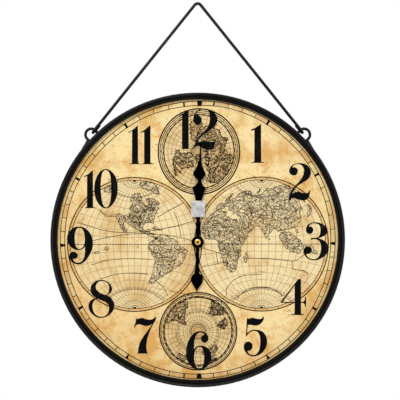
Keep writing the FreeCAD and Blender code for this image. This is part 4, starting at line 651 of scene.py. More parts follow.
@dataclass(frozen=True)
class Finish:
    """A plain finish with a fine grain."""

    name: str
    slot: str
    colour: Colour
    roughness: float = 0.5
    metallic: float = 0.0
    specular: float = 0.4
    grain_scale: float = 900.0
    grain_height: float = 0.0
    alpha: float = 1.0

    def material(self) -> bpy.types.Material:
        """Builds the material once.

        Returns:
            The material.
        """
        label = f"{self.name}_finish"
        if label in bpy.data.materials:
            return bpy.data.materials[label]
        made = bpy.data.materials.new(label)
        made.use_nodes = True
        made.diffuse_color = linear(self.colour)
        tree = Tree(made.node_tree)
        shader = made.node_tree.nodes["Principled BSDF"]
        plain = {
            "Base Color": linear(self.colour), "Roughness": self.roughness, "Metallic": self.metallic,
            "Specular IOR Level": self.specular, "Alpha": self.alpha,
        }
        for name, value in plain.items():
            tree.feed(shader, name, value)
        tree.feed(shader, "Base Color", self.tint(tree))
        if self.grain_height:
            height = GRAIN.place(tree, scale=self.grain_scale)
            inputs = {"Height": height, "Strength": self.grain_height, "Distance": GRAIN_DEPTH}
            tree.feed(shader, "Normal", tree.add("ShaderNodeBump", inputs).outputs[0])
        return made

    def tint(self, tree: Tree) -> object:
        """Gives the colour, as a value or as an output of the material's tree."""
        return linear(self.colour)

    def put_on(self, obj: Piece) -> None:
        """Gives a piece this finish.

        Args:
            obj: the piece.
        """
        if obj.material_slots:
            for place in obj.material_slots:
                place.material = self.material()
        else:
            obj.data.materials.append(self.material())


@dataclass(frozen=True)
class Parchment(Finish):
    """Printed paper, aged and stained."""

    stain: Colour = (225, 173, 98)
    amount: float = 1.0

    def tint(self, tree: Tree) -> object:
        """Stains the colour."""
        return AGEING.place(tree, colour=linear(self.colour), stain=linear(self.stain), amount=self.amount)


@dataclass(frozen=True)
class LandWash(Parchment):
    """Paper under fine engraving: short dark strokes over a tan ground."""

    ink: Colour = (54, 44, 32)
    strokes: float = 0.74

    def tint(self, tree: Tree) -> object:
        """Stains the colour and hatches it.

        Args:
            tree: the material's tree.

        Returns:
            The hatched colour.
        """
        aged, place = super().tint(tree), tree.here()
        wide = tree.moved(place, Scale=(380.0, 380.0, 840.0))
        tall = tree.moved(place, Scale=(900.0, 400.0, 330.0))
        level = tree.span(tree.noise(wide, 1.0, detail=2.0), 0.52, 0.575)
        upright = tree.span(tree.noise(tall, 1.0, detail=2.0), 0.57, 0.62)
        tone = tree.span(tree.noise(place, 75.0, detail=3.0), 0.32, 0.66, 0.3, 1.0)
        drawn = tree.math("MULTIPLY", tree.math("MAXIMUM", level, upright), tone)
        return tree.mix(tree.math("MULTIPLY", drawn, self.strokes), aged, linear(self.ink))


@dataclass(frozen=True)
class Worn(Finish):
    """Ink or paint that is rubbed through in places."""

    under: Colour = (120, 96, 62)
    scale: float = 60.0
    amount: float = 0.5

    def tint(self, tree: Tree) -> object:
        """Lets the ground show where the coat is worn."""
        mask = WEAR.place(tree, scale=self.scale, amount=self.amount)
        return tree.mix(mask, linear(self.colour), linear(self.under))


@dataclass(frozen=True)
class Film(Finish):
    """Milky shipping film with a dark speck in its middle."""

    cloud: Colour = (222, 222, 221)
    speck: Colour = (118, 114, 108)
    speck_size: float = 0.8

    def tint(self, tree: Tree) -> object:
        """Clouds the film and adds the speck.

        Args:
            tree: the material's tree.

        Returns:
            The clouded colour.
        """
        place = tree.here()
        low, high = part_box("shipping_film")
        away = tree.length(tree.moved(place, Location=-(low + high) / 2))
        cloud = tree.span(tree.noise(place, 240.0, detail=4.0, rough=0.65), 0.35, 0.68)
        milky = tree.mix(cloud, linear(self.colour), linear(self.cloud))
        spot = tree.span(away, self.speck_size * MM, self.speck_size * 0.5 * MM, 0.0, 0.9)
        return tree.mix(spot, milky, linear(self.speck))


BLACK_PAINT = Worn("black_paint", "black_paint", (18, 17, 16), 0.4, specular=0.15, grain_scale=700.0,
                   grain_height=0.06, under=(32, 31, 29), scale=45.0, amount=0.35)
DRUM_PAINT = replace(BLACK_PAINT, name="drum_paint", roughness=0.66)
# The recessed ring: a darker, less glossy copy of the black paint, which paints the shade in the recess
# behind the bead.
SHADED_RING_PAINT = replace(BLACK_PAINT, name="shaded_ring_paint", colour=(6, 6, 6), roughness=0.5, specular=0.06,
                     grain_height=0.25, under=(22, 21, 20), amount=0.4)
PAPER = Parchment("printed_paper", "printed_paper", (252, 227, 167), 0.8, specular=0.1,
                  grain_scale=1400.0, grain_height=0.12)
SEA = replace(PAPER, name="sea_paper", colour=(248, 226, 174), stain=(224, 186, 122), amount=0.8)
POLAR_SEA = replace(SEA, name="polar_paper", colour=(240, 213, 157), stain=(206, 166, 104), amount=0.9)
RING_WASH = replace(SEA, name="ring_wash", colour=(240, 210, 152), grain_height=0.1, stain=(214, 170, 108))
BORDER = replace(RING_WASH, name="border_wash", colour=(234, 194, 130), stain=(216, 160, 90))
POLAR_CAP = replace(PAPER, name="polar_cap", colour=(206, 176, 128), grain_height=0.0)
TRACK_TAN = replace(POLAR_CAP, name="track_tan", colour=(231, 196, 140))
LAND = LandWash("engraved_land", "printed_paper", (244, 223, 176), 0.85, specular=0.05, amount=0.4)
POLAR_LAND = replace(LAND, name="engraved_polar_land", colour=(216, 187, 138), amount=0.5)
FINE_INK = Worn("fine_ink", "printed_paper", (54, 43, 29), 0.8, specular=0.0, under=(166, 140, 98),
                scale=70.0, amount=0.4)
PALE_INK = replace(FINE_INK, name="pale_ink", colour=(152, 128, 92), under=(208, 180, 132), scale=50.0,
                   amount=0.7)
POLAR_INK = replace(PALE_INK, name="polar_ink", colour=(126, 102, 72), under=(190, 160, 116), amount=0.6)
DARK_INK = replace(FINE_INK, name="dark_ink", colour=(34, 28, 20), under=(110, 90, 60), scale=80.0,
                   amount=0.3)
NUMERAL_INK = replace(FINE_INK, name="numeral_ink", colour=(13, 13, 13), roughness=0.75, specular=0.02,
                      under=(78, 72, 62), scale=55.0, amount=0.3)
BLACK_HAND = Finish("black_hand", "black_hand", (2, 2, 2), 0.65, specular=0.0)
BRASS = Finish("brass", "brass", (238, 196, 100), 0.2, metallic=1.0)
FILM = Film("plastic_film", "plastic_film", (179, 179, 178), 0.45, specular=0.25, alpha=0.94)
BOARD = Parchment("fibre_board", "fibre_board", (150, 112, 74), 0.85, specular=0.2, grain_scale=1100.0,
                  grain_height=0.5, stain=(116, 82, 50), amount=0.8)
ZINC = Finish("zinc_steel", "zinc_steel", (176, 180, 184), 0.35, metallic=1.0, grain_scale=300.0,
              grain_height=0.15)
BLACK_PLASTIC = Finish("black_plastic", "black_plastic", (24, 24, 25), specular=0.25, grain_scale=1500.0,
                       grain_height=0.35)
WHITE_PLASTIC = Finish("white_plastic", "white_plastic", (226, 224, 216), 0.4)
RUBBER = Finish("black_rubber", "black_rubber", (22, 22, 22), 0.85, specular=0.15)
DARK_STEEL = Finish("dark_steel", "dark_steel", (96, 98, 102), 0.35, metallic=1.0)
NICKEL = Finish("nickel_steel", "nickel_steel", (192, 188, 178), 0.28, metallic=1.0)
COPPER = Finish("copper_wire", "copper_wire", (196, 108, 62), 0.35, metallic=1.0)
GREEN_BOARD = Finish("circuit_green", "circuit_green", (30, 92, 52), 0.45)
CELL_SLEEVE = Finish("cell_sleeve", "cell_sleeve", (38, 66, 120), 0.35)
BY_SLOT = {
    finish.slot: finish
    for finish in (
        BLACK_PAINT, PAPER, BLACK_HAND, BRASS, FILM, BOARD, ZINC, BLACK_PLASTIC, WHITE_PLASTIC,
        RUBBER, DARK_STEEL, NICKEL, COPPER, GREEN_BOARD, CELL_SLEEVE,
    )
}


def body_of(node: str) -> str:
    """Names the body that a CAD node rides on."""
    return frame["nodes"][node]["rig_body"]


def hand_over(obj: Piece, finish: Finish, body: str, *nodes: str) -> Piece:
    """Dresses a finished piece and ties it to the model.

    Args:
        obj: the piece.
        finish: what it is dressed in.
        body: the body that it rides on.
        nodes: CAD nodes that it stands for.

    Returns:
        The piece.
    """
    clear()
    finish.put_on(obj)
    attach(obj, body)
    if nodes:
        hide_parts(*nodes)
    logging.info("%s: %d faces", obj.name, len(obj.data.polygons))
    return obj


def smooth_copy(node: str, name: str, finish: Finish, degrees: float = 32.0) -> Piece:
    """Copies a CAD node, welds its triangles and shades it smoothly.

    Args:
        node: the CAD node.
        name: the new piece's name.
        finish: what it is dressed in.
        degrees: edges sharper than this stay sharp.

    Returns:
        The piece that stands for the node.
    """
    pick(frame["nodes"][node])
    bpy.ops.object.duplicate()
    obj = bpy.context.object
    obj.name = name
    obj.parent = None
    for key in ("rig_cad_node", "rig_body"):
        del obj[key]
    weld(outwards=False)
    bpy.ops.object.shade_smooth_by_angle(angle=math.radians(degrees))
    bpy.ops.object.modifier_add(type="WEIGHTED_NORMAL")
    obj.modifiers[-1].keep_sharp = True
    bpy.ops.object.modifier_apply(modifier=obj.modifiers[-1].name)
    return hand_over(obj, finish, body_of(node), node)


def turned(name: str, profile: Outline, centre: Vector, steps: int, degrees: float) -> Piece:
    """Spins a closed profile about an axis along the depth.

    Args:
        name: the piece's name.
        profile: radius and depth of each corner in millimetres.
        centre: a point of the axis in metres.
        steps: faces round the axis.
        degrees: edges sharper than this stay sharp.

    Returns:
        The turned piece.
    """
    clear()
    radius, depth = profile[0]
    start = (centre.x + radius * MM, -depth * MM, centre.z)
    bpy.ops.mesh.primitive_plane_add(size=MM, location=start)
    obj = bpy.context.object
    obj.name = name
    bpy.ops.object.transform_apply(location=True, rotation=True, scale=True)
    bpy.ops.object.mode_set(mode="EDIT")
    bpy.ops.mesh.select_all(action="SELECT")
    bpy.ops.mesh.merge(type="CENTER")
    for (r0, d0), (r1, d1) in zip(profile, [*profile[1:], profile[0]]):
        step = ((r1 - r0) * MM, (d0 - d1) * MM, 0.0)
        bpy.ops.mesh.extrude_region_move(TRANSFORM_OT_translate={"value": step})
    bpy.ops.mesh.select_all(action="SELECT")
    bpy.ops.mesh.spin(steps=steps, angle=math.tau, center=(centre.x, 0.0, centre.z), axis=(0.0, 1.0, 0.0))
    bpy.ops.mesh.select_all(action="SELECT")
    bpy.ops.mesh.remove_doubles(threshold=WELD)
    bpy.ops.mesh.delete_loose()
    weld()
    bpy.ops.object.shade_smooth_by_angle(angle=math.radians(degrees))
    return obj


class Level(Enum):
    """How far each print stands off the paper, in millimetres: a layer's front, a line's middle."""

    TRACK = 0.004
    CELLS = 0.01
    SEA = 0.012
    BORDER = 0.016
    CAP = 0.018
    LAND = 0.024
    FRAME = 0.03
    MARKS = 0.05
    NUMERALS = 0.075

    def depth(self, lift: float = 0.0) -> float:
        """Gives a print's depth, further lifted where two charts cross."""
        return PAPER_FRONT + self.value + lift


@dataclass
class Stroke:
    """A drawn line on the dial, in millimetres from the dial's middle."""

    points: Outline
    width: float
    closed: bool = False


def flat_curve(name: str, thickness: float = 0.0) -> Piece:
    """Adds an empty flat curve.

    Args:
        name: the piece's name.
        thickness: of the sheet that fills it, or 0 for lines.

    Returns:
        The curve's object.
    """
    clear()
    bpy.ops.curve.primitive_bezier_curve_add(location=(0.0, 0.0, 0.0))
    obj = bpy.context.object
    obj.name = obj.data.name = name
    obj.data.dimensions = "2D"
    obj.data.splines.clear()
    obj.data.fill_mode = "BOTH" if thickness else "NONE"
    obj.data.extrude = thickness / 2
    return obj


def add_line(curve: bpy.types.Curve, stroke: Stroke) -> None:
    """Adds a straight-sided line to a curve.

    Args:
        curve: the curve.
        stroke: the line.
    """
    line = curve.splines.new("POLY")
    line.points.add(len(stroke.points) - 1)
    line.use_cyclic_u = stroke.closed
    for point, (x, z) in zip(line.points, stroke.points):
        point.co = (x, z, 0.0, 1.0)
        point.radius = stroke.width


def on_dial(obj: Piece, depth: float, flatten: float = 1.0) -> None:
    """Makes a flat curve a mesh and lays it on the dial.

    Args:
        obj: the curve, drawn in millimetres.
        depth: depth of its middle in millimetres.
        flatten: share of its height that is kept.
    """
    pick(obj)
    bpy.ops.object.convert(target="MESH")
    stand(obj, (MM, MM, MM * flatten), (0.0, -depth * MM, DIAL_Z))
    weld()


def draw(name: str, strokes: Sequence[Stroke], depth: float, finish: Finish) -> Piece:
    """Draws lines as low ridges of ink.

    Args:
        name: the piece's name.
        strokes: the lines.
        depth: depth of their middle in millimetres.
        finish: the ink.

    Returns:
        The piece.
    """
    obj = flat_curve(name)
    obj.data.bevel_depth = 0.5
    obj.data.bevel_resolution = 0
    obj.data.use_fill_caps = True
    for stroke in strokes:
        add_line(obj.data, stroke)
    on_dial(obj, depth, flatten=INK_SHARE)
    return hand_over(obj, finish, "case")


def layer(name: str, outlines: Sequence[Outline], depth: float, height: float = PRINT) -> Piece:
    """Makes a thin layer within flat outlines.

    Args:
        name: the layer's name.
        outlines: closed outlines; one inside another is a hole.
        depth: depth of the layer's front in millimetres.
        height: its thickness in millimetres.

    Returns:
        The layer, not dressed yet.
    """
    obj = flat_curve(name, height)
    for outline in outlines:
        add_line(obj.data, Stroke(outline, 1.0, True))
    on_dial(obj, depth - height / 2)
    return obj


def fill(
    name: str, outlines: Sequence[Outline], depth: float, finish: Finish, height: float = PRINT
) -> Piece:
    """Makes a layer as layer does, and dresses it."""
    return hand_over(layer(name, outlines, depth, height), finish, "case")


def circle(
    centre: Flat, radius: float, tall: float = 1.0, start: float = 0.0, end: float = 360.0, step: float = 3.0
) -> list[Flat]:
    """Gives points along a circle or an arc.

    Args:
        centre: its middle.
        radius: half its width.
        tall: its height over its width.
        start: first angle in degrees.
        end: last angle in degrees.
        step: degrees between points.

    Returns:
        The points; a whole circle isn't closed by a repeated one.
    """
    count = max(2, round(abs(end - start) / step))
    last = count if abs(end - start) >= 360 else count + 1
    angles = [math.radians(start + (end - start) * i / count) for i in range(last)]
    return [(centre[0] + radius * math.cos(a), centre[1] + radius * tall * math.sin(a)) for a in angles]


def flowing(points: Outline, pieces: int = 6) -> list[Flat]:
    """Draws a smooth line through points.

    Args:
        points: where it passes.
        pieces: steps between two points.

    Returns:
        The line's points.
    """
    line = []
    ends = [points[0], *points, points[-1]]
    for near in zip(ends, ends[1:], ends[2:], ends[3:]):
        for step in range(pieces):
            t = step / pieces
            shares = (-t + 2 * t**2 - t**3, 2 - 5 * t**2 + 3 * t**3, t + 4 * t**2 - 3 * t**3, t**3 - t**2)
            line.append(tuple(sum(s * p[k] for s, p in zip(shares, near)) / 2 for k in (0, 1)))
    return [*line, points[-1]]


def blunted(outline: Outline, sharpest: float = 40.0, shortest: float = 0.12) -> list[Flat]:
    """Drops the points where an outline turns back on itself.

    Args:
        outline: closed outline.
        sharpest: smallest corner that is kept, in degrees.
        shortest: smallest step that is kept, in millimetres.

    Returns:
        The outline without its spikes.
    """
    kept = list(outline)
    place = 0
    while place < len(kept) and len(kept) > 3:
        before, here, after = kept[place - 1], kept[place], kept[(place + 1) % len(kept)]
        back = (before[0] - here[0], before[1] - here[1])
        ahead = (after[0] - here[0], after[1] - here[1])
        sizes = math.hypot(*back) * math.hypot(*ahead)
        cosine = (back[0] * ahead[0] + back[1] * ahead[1]) / sizes if sizes > 1e-9 else 1.0
        if cosine > math.cos(math.radians(sharpest)) or math.hypot(*back) < shortest:
            kept.pop(place)
            place = max(0, place - 2)
        else:
            place += 1
    return kept


def inside(point: Flat, outline: Outline) -> bool:
    """Tells whether a point lies in an outline.

    Args:
        point: the point.
        outline: closed outline.

    Returns:
        True inside it.
    """
    x, z = point
    hit = False
    for (x0, z0), (x1, z1) in zip(outline, [*outline[1:], outline[0]]):
        if (z0 > z) != (z1 > z) and x < (x1 - x0) * (z - z0) / (z1 - z0) + x0:
            hit = not hit
    return hit


@dataclass
class Chart:
    """One round chart of the dial's print."""

    name: str
    centre: Flat
    radius: float
    lands: tuple[str, ...]
    seed: int
    lift: float = 0.0
    tall: float = 1.0
    density: float = 0.42
    wander: float = 1.1
    sea: Finish = SEA
    land: Finish = LAND
    bare: tuple[str, ...] = ()
    rich: tuple[str, ...] = ()
    more: float = 1.0
    rows: int = 60
    grid: Finish = PALE_INK
    bold: float = 1.0
    coast_step: float = 1.6
    coast_line: float = 0.55
    bare_line: float = 0.3
    hill_slopes: tuple[float, ...] = (0.0, 0.15, -0.2, 1.2, 1.9)
    hill_tilt: float = 0.35
    hill_length: Flat = (0.6, 2.0)
    hill_sway: float = 0.3
    hill_line: Flat = (0.22, 0.5)
    river_share: float = 0.035
    river_step: float = 1.1
    river_steps: int = 11
    river_bend: float = 0.75
    river_line: Flat = (0.3, 0.62)
    shore_length: Flat = (0.6, 1.7)
    shore_line: Flat = (0.18, 0.3)
    word_reach: float = 0.92
    word_slope: float = 0.25
    word_dashes: tuple[int, int] = (2, 5)
    word_dash: Flat = (0.4, 0.9)
    word_gap: float = 0.35
    word_line: Flat = (0.2, 0.42)

    def place(self, longitude: float, latitude: float) -> Flat:
        """Tells where a place on the globe lies on the chart, which each kind of chart does its own way."""
        raise NotImplementedError

    def clip(self, longitude: float, latitude: float) -> Flat:
        """Brings a place inside the chart's edge, which each kind of chart does its own way."""
        raise NotImplementedError

    def graticule(self) -> Iterator[Stroke]:
        """Gives lines of longitude and latitude; each kind of chart has its own."""
        raise NotImplementedError

    def frame_lines(self) -> Iterator[Stroke]:
        """Gives the lines round the chart; each kind of chart has its own."""
        raise NotImplementedError

    def ring(self, radius: float, step: float = 3.0) -> list[Flat]:
        """Gives a circle about the chart's middle."""
        return circle(self.centre, radius, self.tall, step=step)

    def spoke(self, angle: float, near: float, far: float) -> list[Flat]:
        """Gives the ends, at two radii, of a line away from the middle at an angle in degrees."""
        way = (math.cos(math.radians(angle)), math.sin(math.radians(angle)) * self.tall)
        return [(self.centre[0] + way[0] * r, self.centre[1] + way[1] * r) for r in (near, far)]

    def outlines(self, wander: float) -> Iterator[tuple[str, list[Flat]]]:
        """Goes through the chart's lands.

        Args:
            wander: how ragged a coast is, in degrees.

        Returns:
            Each land's name and its outline on the dial.
        """
        rng = random.Random(self.seed)
        for name in self.lands:
            shape = LANDS[name]
            made = []
            for (lon0, lat0), (lon1, lat1) in zip(shape, [*shape[1:], shape[0]]):
                count = max(1, round(math.hypot(lon1 - lon0, lat1 - lat0) / self.coast_step))
                for i in range(count):
                    loose = wander if i else 0.0
                    lon = lon0 + (lon1 - lon0) * i / count + rng.uniform(-loose, loose)
                    lat = lat0 + (lat1 - lat0) * i / count + rng.uniform(-loose, loose)
                    made.append(self.place(*self.clip(lon, lat)))
            kept = blunted(blunted(made))
            if len(kept) > 3:
                yield name, kept

    def engraving(self, outline: Outline, rng: random.Random, share: float = 1.0) -> Iterator[Stroke]:
        """Draws hills and rivers of one land as short wavy strokes.

        Args:
            outline: the land.
            rng: where chance comes from.
            share: of the usual number of strokes.

        Returns:
            The strokes.
        """
        xs, zs = [p[0] for p in outline], [p[1] for p in outline]
        left, right, bottom, top = min(xs), max(xs), min(zs), max(zs)
        area = (right - left) * (top - bottom)
        for _ in range(int(area * self.density * share)):
            x, z = rng.uniform(left, right), rng.uniform(bottom, top)
            if not inside((x, z), outline):
                continue
            angle = rng.choice(self.hill_slopes) + rng.uniform(-self.hill_tilt, self.hill_tilt)
            length, sway = rng.uniform(*self.hill_length), rng.uniform(-self.hill_sway, self.hill_sway)
            cosine, sine = math.cos(angle), math.sin(angle)
            steps = ((-0.5, 0.0), (0.0, sway), (0.5, -sway / 2))
            points = [
                (x + cosine * s * length - sine * w, z + sine * s * length + cosine * w) for s, w in steps
            ]
            if all(inside(p, outline) for p in points):
                yield Stroke(points, rng.uniform(*self.hill_line) * self.bold)
        for _ in range(int(area * self.river_share * share)):
            x, z = rng.uniform(left, right), rng.uniform(bottom, top)
            heading, river = rng.uniform(0.0, math.tau), []
            while inside((x, z), outline) and len(river) < self.river_steps:
                river.append((x, z))
                heading += rng.uniform(-self.river_bend, self.river_bend)
                x += self.river_step * math.cos(heading)
                z += self.river_step * math.sin(heading)
            if len(river) > 3:
                yield Stroke(river, rng.uniform(*self.river_line) * self.bold)

    def shore(self, outline: Outline, rng: random.Random) -> Iterator[Stroke]:
        """Draws short level strokes on the sea side of a coast.

        Args:
            outline: the land.
            rng: where chance comes from.

        Returns:
            The strokes.
        """
        for x, z in outline:
            side = rng.choice((-1.0, 1.0))
            end = (x + side * rng.uniform(*self.shore_length), z)
            if not inside(end, outline):
                yield Stroke([(x, z), end], rng.uniform(*self.shore_line) * self.bold)

    def names(self, lands: Sequence[Outline], rng: random.Random) -> Iterator[Stroke]:
        """Draws rows of tiny dashes at sea, as small print looks from afar.

        Args:
            lands: outlines to keep clear of.
            rng: where chance comes from.

        Returns:
            The dashes.
        """
        for _ in range(self.rows):
            away, turn = self.radius * self.word_reach * math.sqrt(rng.random()), rng.uniform(0.0, math.tau)
            x, z = self.centre[0] + away * math.cos(turn), self.centre[1] + away * math.sin(turn)
            slope = rng.uniform(-self.word_slope, self.word_slope)
            for _ in range(rng.randint(*self.word_dashes)):
                length = rng.uniform(*self.word_dash)
                if not any(inside((x, z), outline) for outline in lands):
                    yield Stroke([(x, z), (x + length, z + slope * length)], rng.uniform(*self.word_line))
                x, z = x + length + self.word_gap, z + slope * (length + self.word_gap)

    def lay(self, part: str, outlines: Sequence[Outline], level: Level, finish: Finish) -> None:
        """Lays a tone on the chart."""
        fill(f"{self.name}_{part}", outlines, level.depth(self.lift), finish)

    def ink(self, part: str, strokes: Sequence[Stroke], level: Level, finish: Finish) -> None:
        """Draws lines on the chart."""
        draw(f"{self.name}_{part}", strokes, level.depth(self.lift), finish)

    def ground(self) -> None:
        """Lays the chart's paper tone."""
        self.lay("sea", [self.ring(self.radius)], Level.SEA, self.sea)

    def wash_lands(self) -> None:
        """Lays the tone of the lands, each within its plain outline."""
        washed = [outline for name, outline in self.outlines(0.0) if name not in self.bare]
        tones = [layer(f"{self.name}_land", [outline], Level.LAND.depth(self.lift)) for outline in washed]
        clear()
        for tone in tones:
            tone.select_set(True)
        bpy.context.view_layer.objects.active = tones[0]
        bpy.ops.object.join()
        hand_over(tones[0], self.land, "case")

    def build(self) -> None:
        """Builds the chart from the ground up."""
        rng = random.Random(self.seed + 1)
        self.ground()
        drawn = dict(self.outlines(self.wander))
        lands = [outline for name, outline in drawn.items() if name not in self.bare]
        self.wash_lands()
        self.ink("graticule", list(self.graticule()), Level.SEA, self.grid)
        coasts = [
            Stroke(outline, self.bare_line if name in self.bare else self.coast_line * self.bold, True)
            for name, outline in drawn.items()
        ]
        twice = [drawn[name] for name in self.rich if name in drawn]
        strokes = [s for outline in lands for s in self.engraving(outline, rng)]
        strokes += [s for outline in twice for s in self.engraving(outline, rng, self.more)]
        strokes += [s for outline in lands for s in self.shore(outline, rng)]
        strokes += self.names(lands, rng)
        self.ink("coasts", coasts, Level.LAND, DARK_INK)
        self.ink("engraving", strokes, Level.LAND, FINE_INK)
        self.ink("frame", list(self.frame_lines()), Level.FRAME, DARK_INK)


@dataclass
class HemisphereChart(Chart):
    """Half the globe on a round net whose edge is a meridian."""

    middle: float = 0.0
    farthest: Flat = (89.9, 89.5)
    net_line: float = 0.34
    border_outer: float = 69.5
    border_inner: float = 67.1
    border_over: float = 0.4
    border_line: float = 1.05
    inner_line: float = 0.5
    dash: float = 1.6
    dash_line: float = 0.36
    tick_line: float = 0.45
    equator_line: float = 0.4
    equator_dash: float = 2.4
    equator_bold: float = 0.8
    polar_circles: Flat = (63.0, 66.5)
    polar_gap: float = 1.6
    polar_lines: Flat = (0.6, 0.35)
    pole_lines: tuple[tuple[float, float, int, int], ...] = (
        (79.0, 0.3, 84, 6), (86.0, 0.7, 84, 6), (88.0, 1.5, 60, 120),
    )
    routes: tuple[Outline, ...] = ()
    route_line: float = 0.6

    def clip(self, longitude: float, latitude: float) -> Flat:
        """Brings a place inside the half globe.

        Args:
            longitude: degrees east; below -180 it isn't wrapped round.
            latitude: degrees north.

        Returns:
            Longitude from the chart's middle, and latitude.
        """
        away = longitude - self.middle
        if longitude >= -180:
            away = (away + 180) % 360 - 180
        east, north = self.farthest
        return max(-east, min(east, away)), max(-north, min(north, latitude))

    def place(self, longitude: float, latitude: float) -> Flat:
        """Tells where a place lies on the round net.

        Args:
            longitude: degrees from the chart's middle.
            latitude: degrees north.

        Returns:
            Its place on the dial.
        """
        if abs(longitude) < 0.01:
            x, z = 0.0, latitude / 90
        elif abs(latitude) < 0.01:
            x, z = longitude / 90, 0.0
        else:
            turn, rise = math.radians(longitude), math.radians(latitude)
            b = math.pi / (2 * turn) - 2 * turn / math.pi
            c = 2 * rise / math.pi
            sine = math.sin(rise)
            d = (1 - c * c) / (sine - c)
            ratio = (b / d) ** 2
            m = (b * sine / d - b / 2) / (1 + ratio)
            x = m + math.copysign(math.sqrt(m * m + math.cos(rise) ** 2 / (1 + ratio)), turn)
            z = sine
            if ratio > 1e-12:
                n = (sine / ratio + d / 2) / (1 + 1 / ratio)
                under = n * n - (sine * sine / ratio + d * sine - 1) / (1 + 1 / ratio)
                z = n - math.copysign(math.sqrt(max(0.0, under)), rise)
        return self.centre[0] + x * self.radius, self.centre[1] + z * self.radius * self.tall

    def parallel(self, latitude: float, width: float, reach: int = 88, step: int = 4) -> Stroke:
        """Draws a line of latitude as far as a reach on either side of the middle."""
        return Stroke([self.place(away, latitude) for away in range(-reach, reach + 1, step)], width)

    def graticule(self) -> Iterator[Stroke]:
        """Draws meridians and parallels every ten degrees.

        Returns:
            The lines.
        """
        for away in range(-80, 90, 10):
            yield Stroke([self.place(away, lat) for lat in range(-84, 85, 4)], self.net_line)
        for lat in range(-70, 80, 10):
            if lat:
                yield self.parallel(lat, self.net_line)

    def frame_lines(self) -> Iterator[Stroke]:
        """Draws border, equator, polar circles, pole fans and old sea routes.

        Returns:
            The lines.
        """
        yield Stroke(self.ring(self.border_outer + self.border_over), self.border_line, True)
        yield Stroke(self.ring(self.border_inner), self.inner_line, True)
        for angle in range(0, 360, 3):
            arc = circle(self.centre, self.radius, self.tall, angle, angle + self.dash, self.dash)
            yield Stroke(arc, self.dash_line)
        for angle in range(5, 360, 10):
            yield Stroke(self.spoke(angle, self.border_inner, self.border_outer), self.tick_line)
        yield Stroke([self.place(-89.0, 0.0), self.place(89.0, 0.0)], self.equator_line)
        for away in range(-88, 88, 4):
            ends = [self.place(away, 0.0), self.place(away + self.equator_dash, 0.0)]
            yield Stroke(ends, self.equator_bold)
        wide, thin = self.polar_lines
        for pole, latitude in zip((-1, 1), self.polar_circles):
            yield self.parallel(pole * latitude, wide)
            yield self.parallel(pole * (latitude - self.polar_gap), thin)
            for near, width, reach, step in self.pole_lines:
                yield self.parallel(pole * near, width, reach, step)
        for points in self.routes:
            yield Stroke(flowing(points), self.route_line)

    def ground(self) -> None:
        """Lays the paper tone and the tan border ring."""
        super().ground()
        edges = [self.ring(radius) for radius in (self.border_outer + self.border_over, self.radius)]
        self.lay("border", edges, Level.BORDER, BORDER)


@dataclass
class PolarChart(Chart):
    """The globe seen from a pole, out to the equator."""

    pole: int = 1
    turn: float = 0.0
    net_line: float = 0.36
    rings: tuple[float, ...] = ()
    ring_ink: float = 1.0
    ring_lines: tuple[float, ...] = (1.6, 0.85, 0.85, 1.2)
    tick_line: float = 0.5
    dash: float = 5.0
    dash_line: float = 1.3
    cap: float = 0.21
    cap_step: float = 8.0
    cap_lines: tuple[Flat, ...] = ((0.21, 0.5), (0.26, 0.4))

    def clip(self, longitude: float, latitude: float) -> Flat:
        """Keeps a place on its own side of the equator."""
        return longitude, max(0.0, latitude * self.pole) * self.pole

    def place(self, longitude: float, latitude: float) -> Flat:
        """Tells where a place lies, by its distance from the pole.

        Args:
            longitude: degrees east.
            latitude: degrees north.

        Returns:
            Its place on the dial.
        """
        out = self.radius * (90 - latitude * self.pole) / 90
        angle = math.radians(self.turn + longitude * self.pole)
        return self.centre[0] + out * math.cos(angle), self.centre[1] + out * self.tall * math.sin(angle)

    def graticule(self) -> Iterator[Stroke]:
        """Draws meridians every ten degrees and circles of latitude.

        Returns:
            The lines.
        """
        for lon in range(0, 360, 10):
            yield Stroke([self.place(lon, self.pole * lat) for lat in (0, 40, 80)], self.net_line)
        for share in range(1, 9):
            yield Stroke(self.ring(self.radius * share / 9, 6.0), self.net_line, True)

    def frame_lines(self) -> Iterator[Stroke]:
        """Draws the rings round the chart, its polar circle and cell marks.

        Returns:
            The lines.
        """
        for ring, width in zip(self.rings, self.ring_lines):
            yield Stroke(self.ring(ring), width * self.ring_ink, True)
        for share, width in self.cap_lines:
            yield Stroke(self.ring(self.radius * share, self.cap_step), width, True)
        for angle in range(0, 360, 10):
            yield Stroke(self.spoke(angle, self.rings[2], self.rings[1]), self.tick_line)
        for angle in range(0, 360, 10):
            end, step = angle + self.dash, self.dash / 2
            arc = circle(self.centre, self.radius + 0.4, self.tall, angle, end, step)
            yield Stroke(arc, self.dash_line * self.ring_ink)

    def ground(self) -> None:
        """Lays the paper tone out to the outermost ring, a tan ring and the polar cap."""
        self.lay("sea", [self.ring(self.rings[0])], Level.SEA, self.sea)
        self.lay("border", [self.ring(radius) for radius in self.rings[1:3]], Level.BORDER, RING_WASH)
        self.lay("cap", [self.ring(self.radius * self.cap, self.cap_step)], Level.CAP, POLAR_CAP)


class Mark(Enum):
    """Shapes of the hour marks: half their width at the outer end and at the inner."""

    BAR = (1.35, 1.05)
    WEDGE = (2.9, 1.9)
    FLARE = (2.1, 0.9)
    POINTER = (1.9, 0.25)


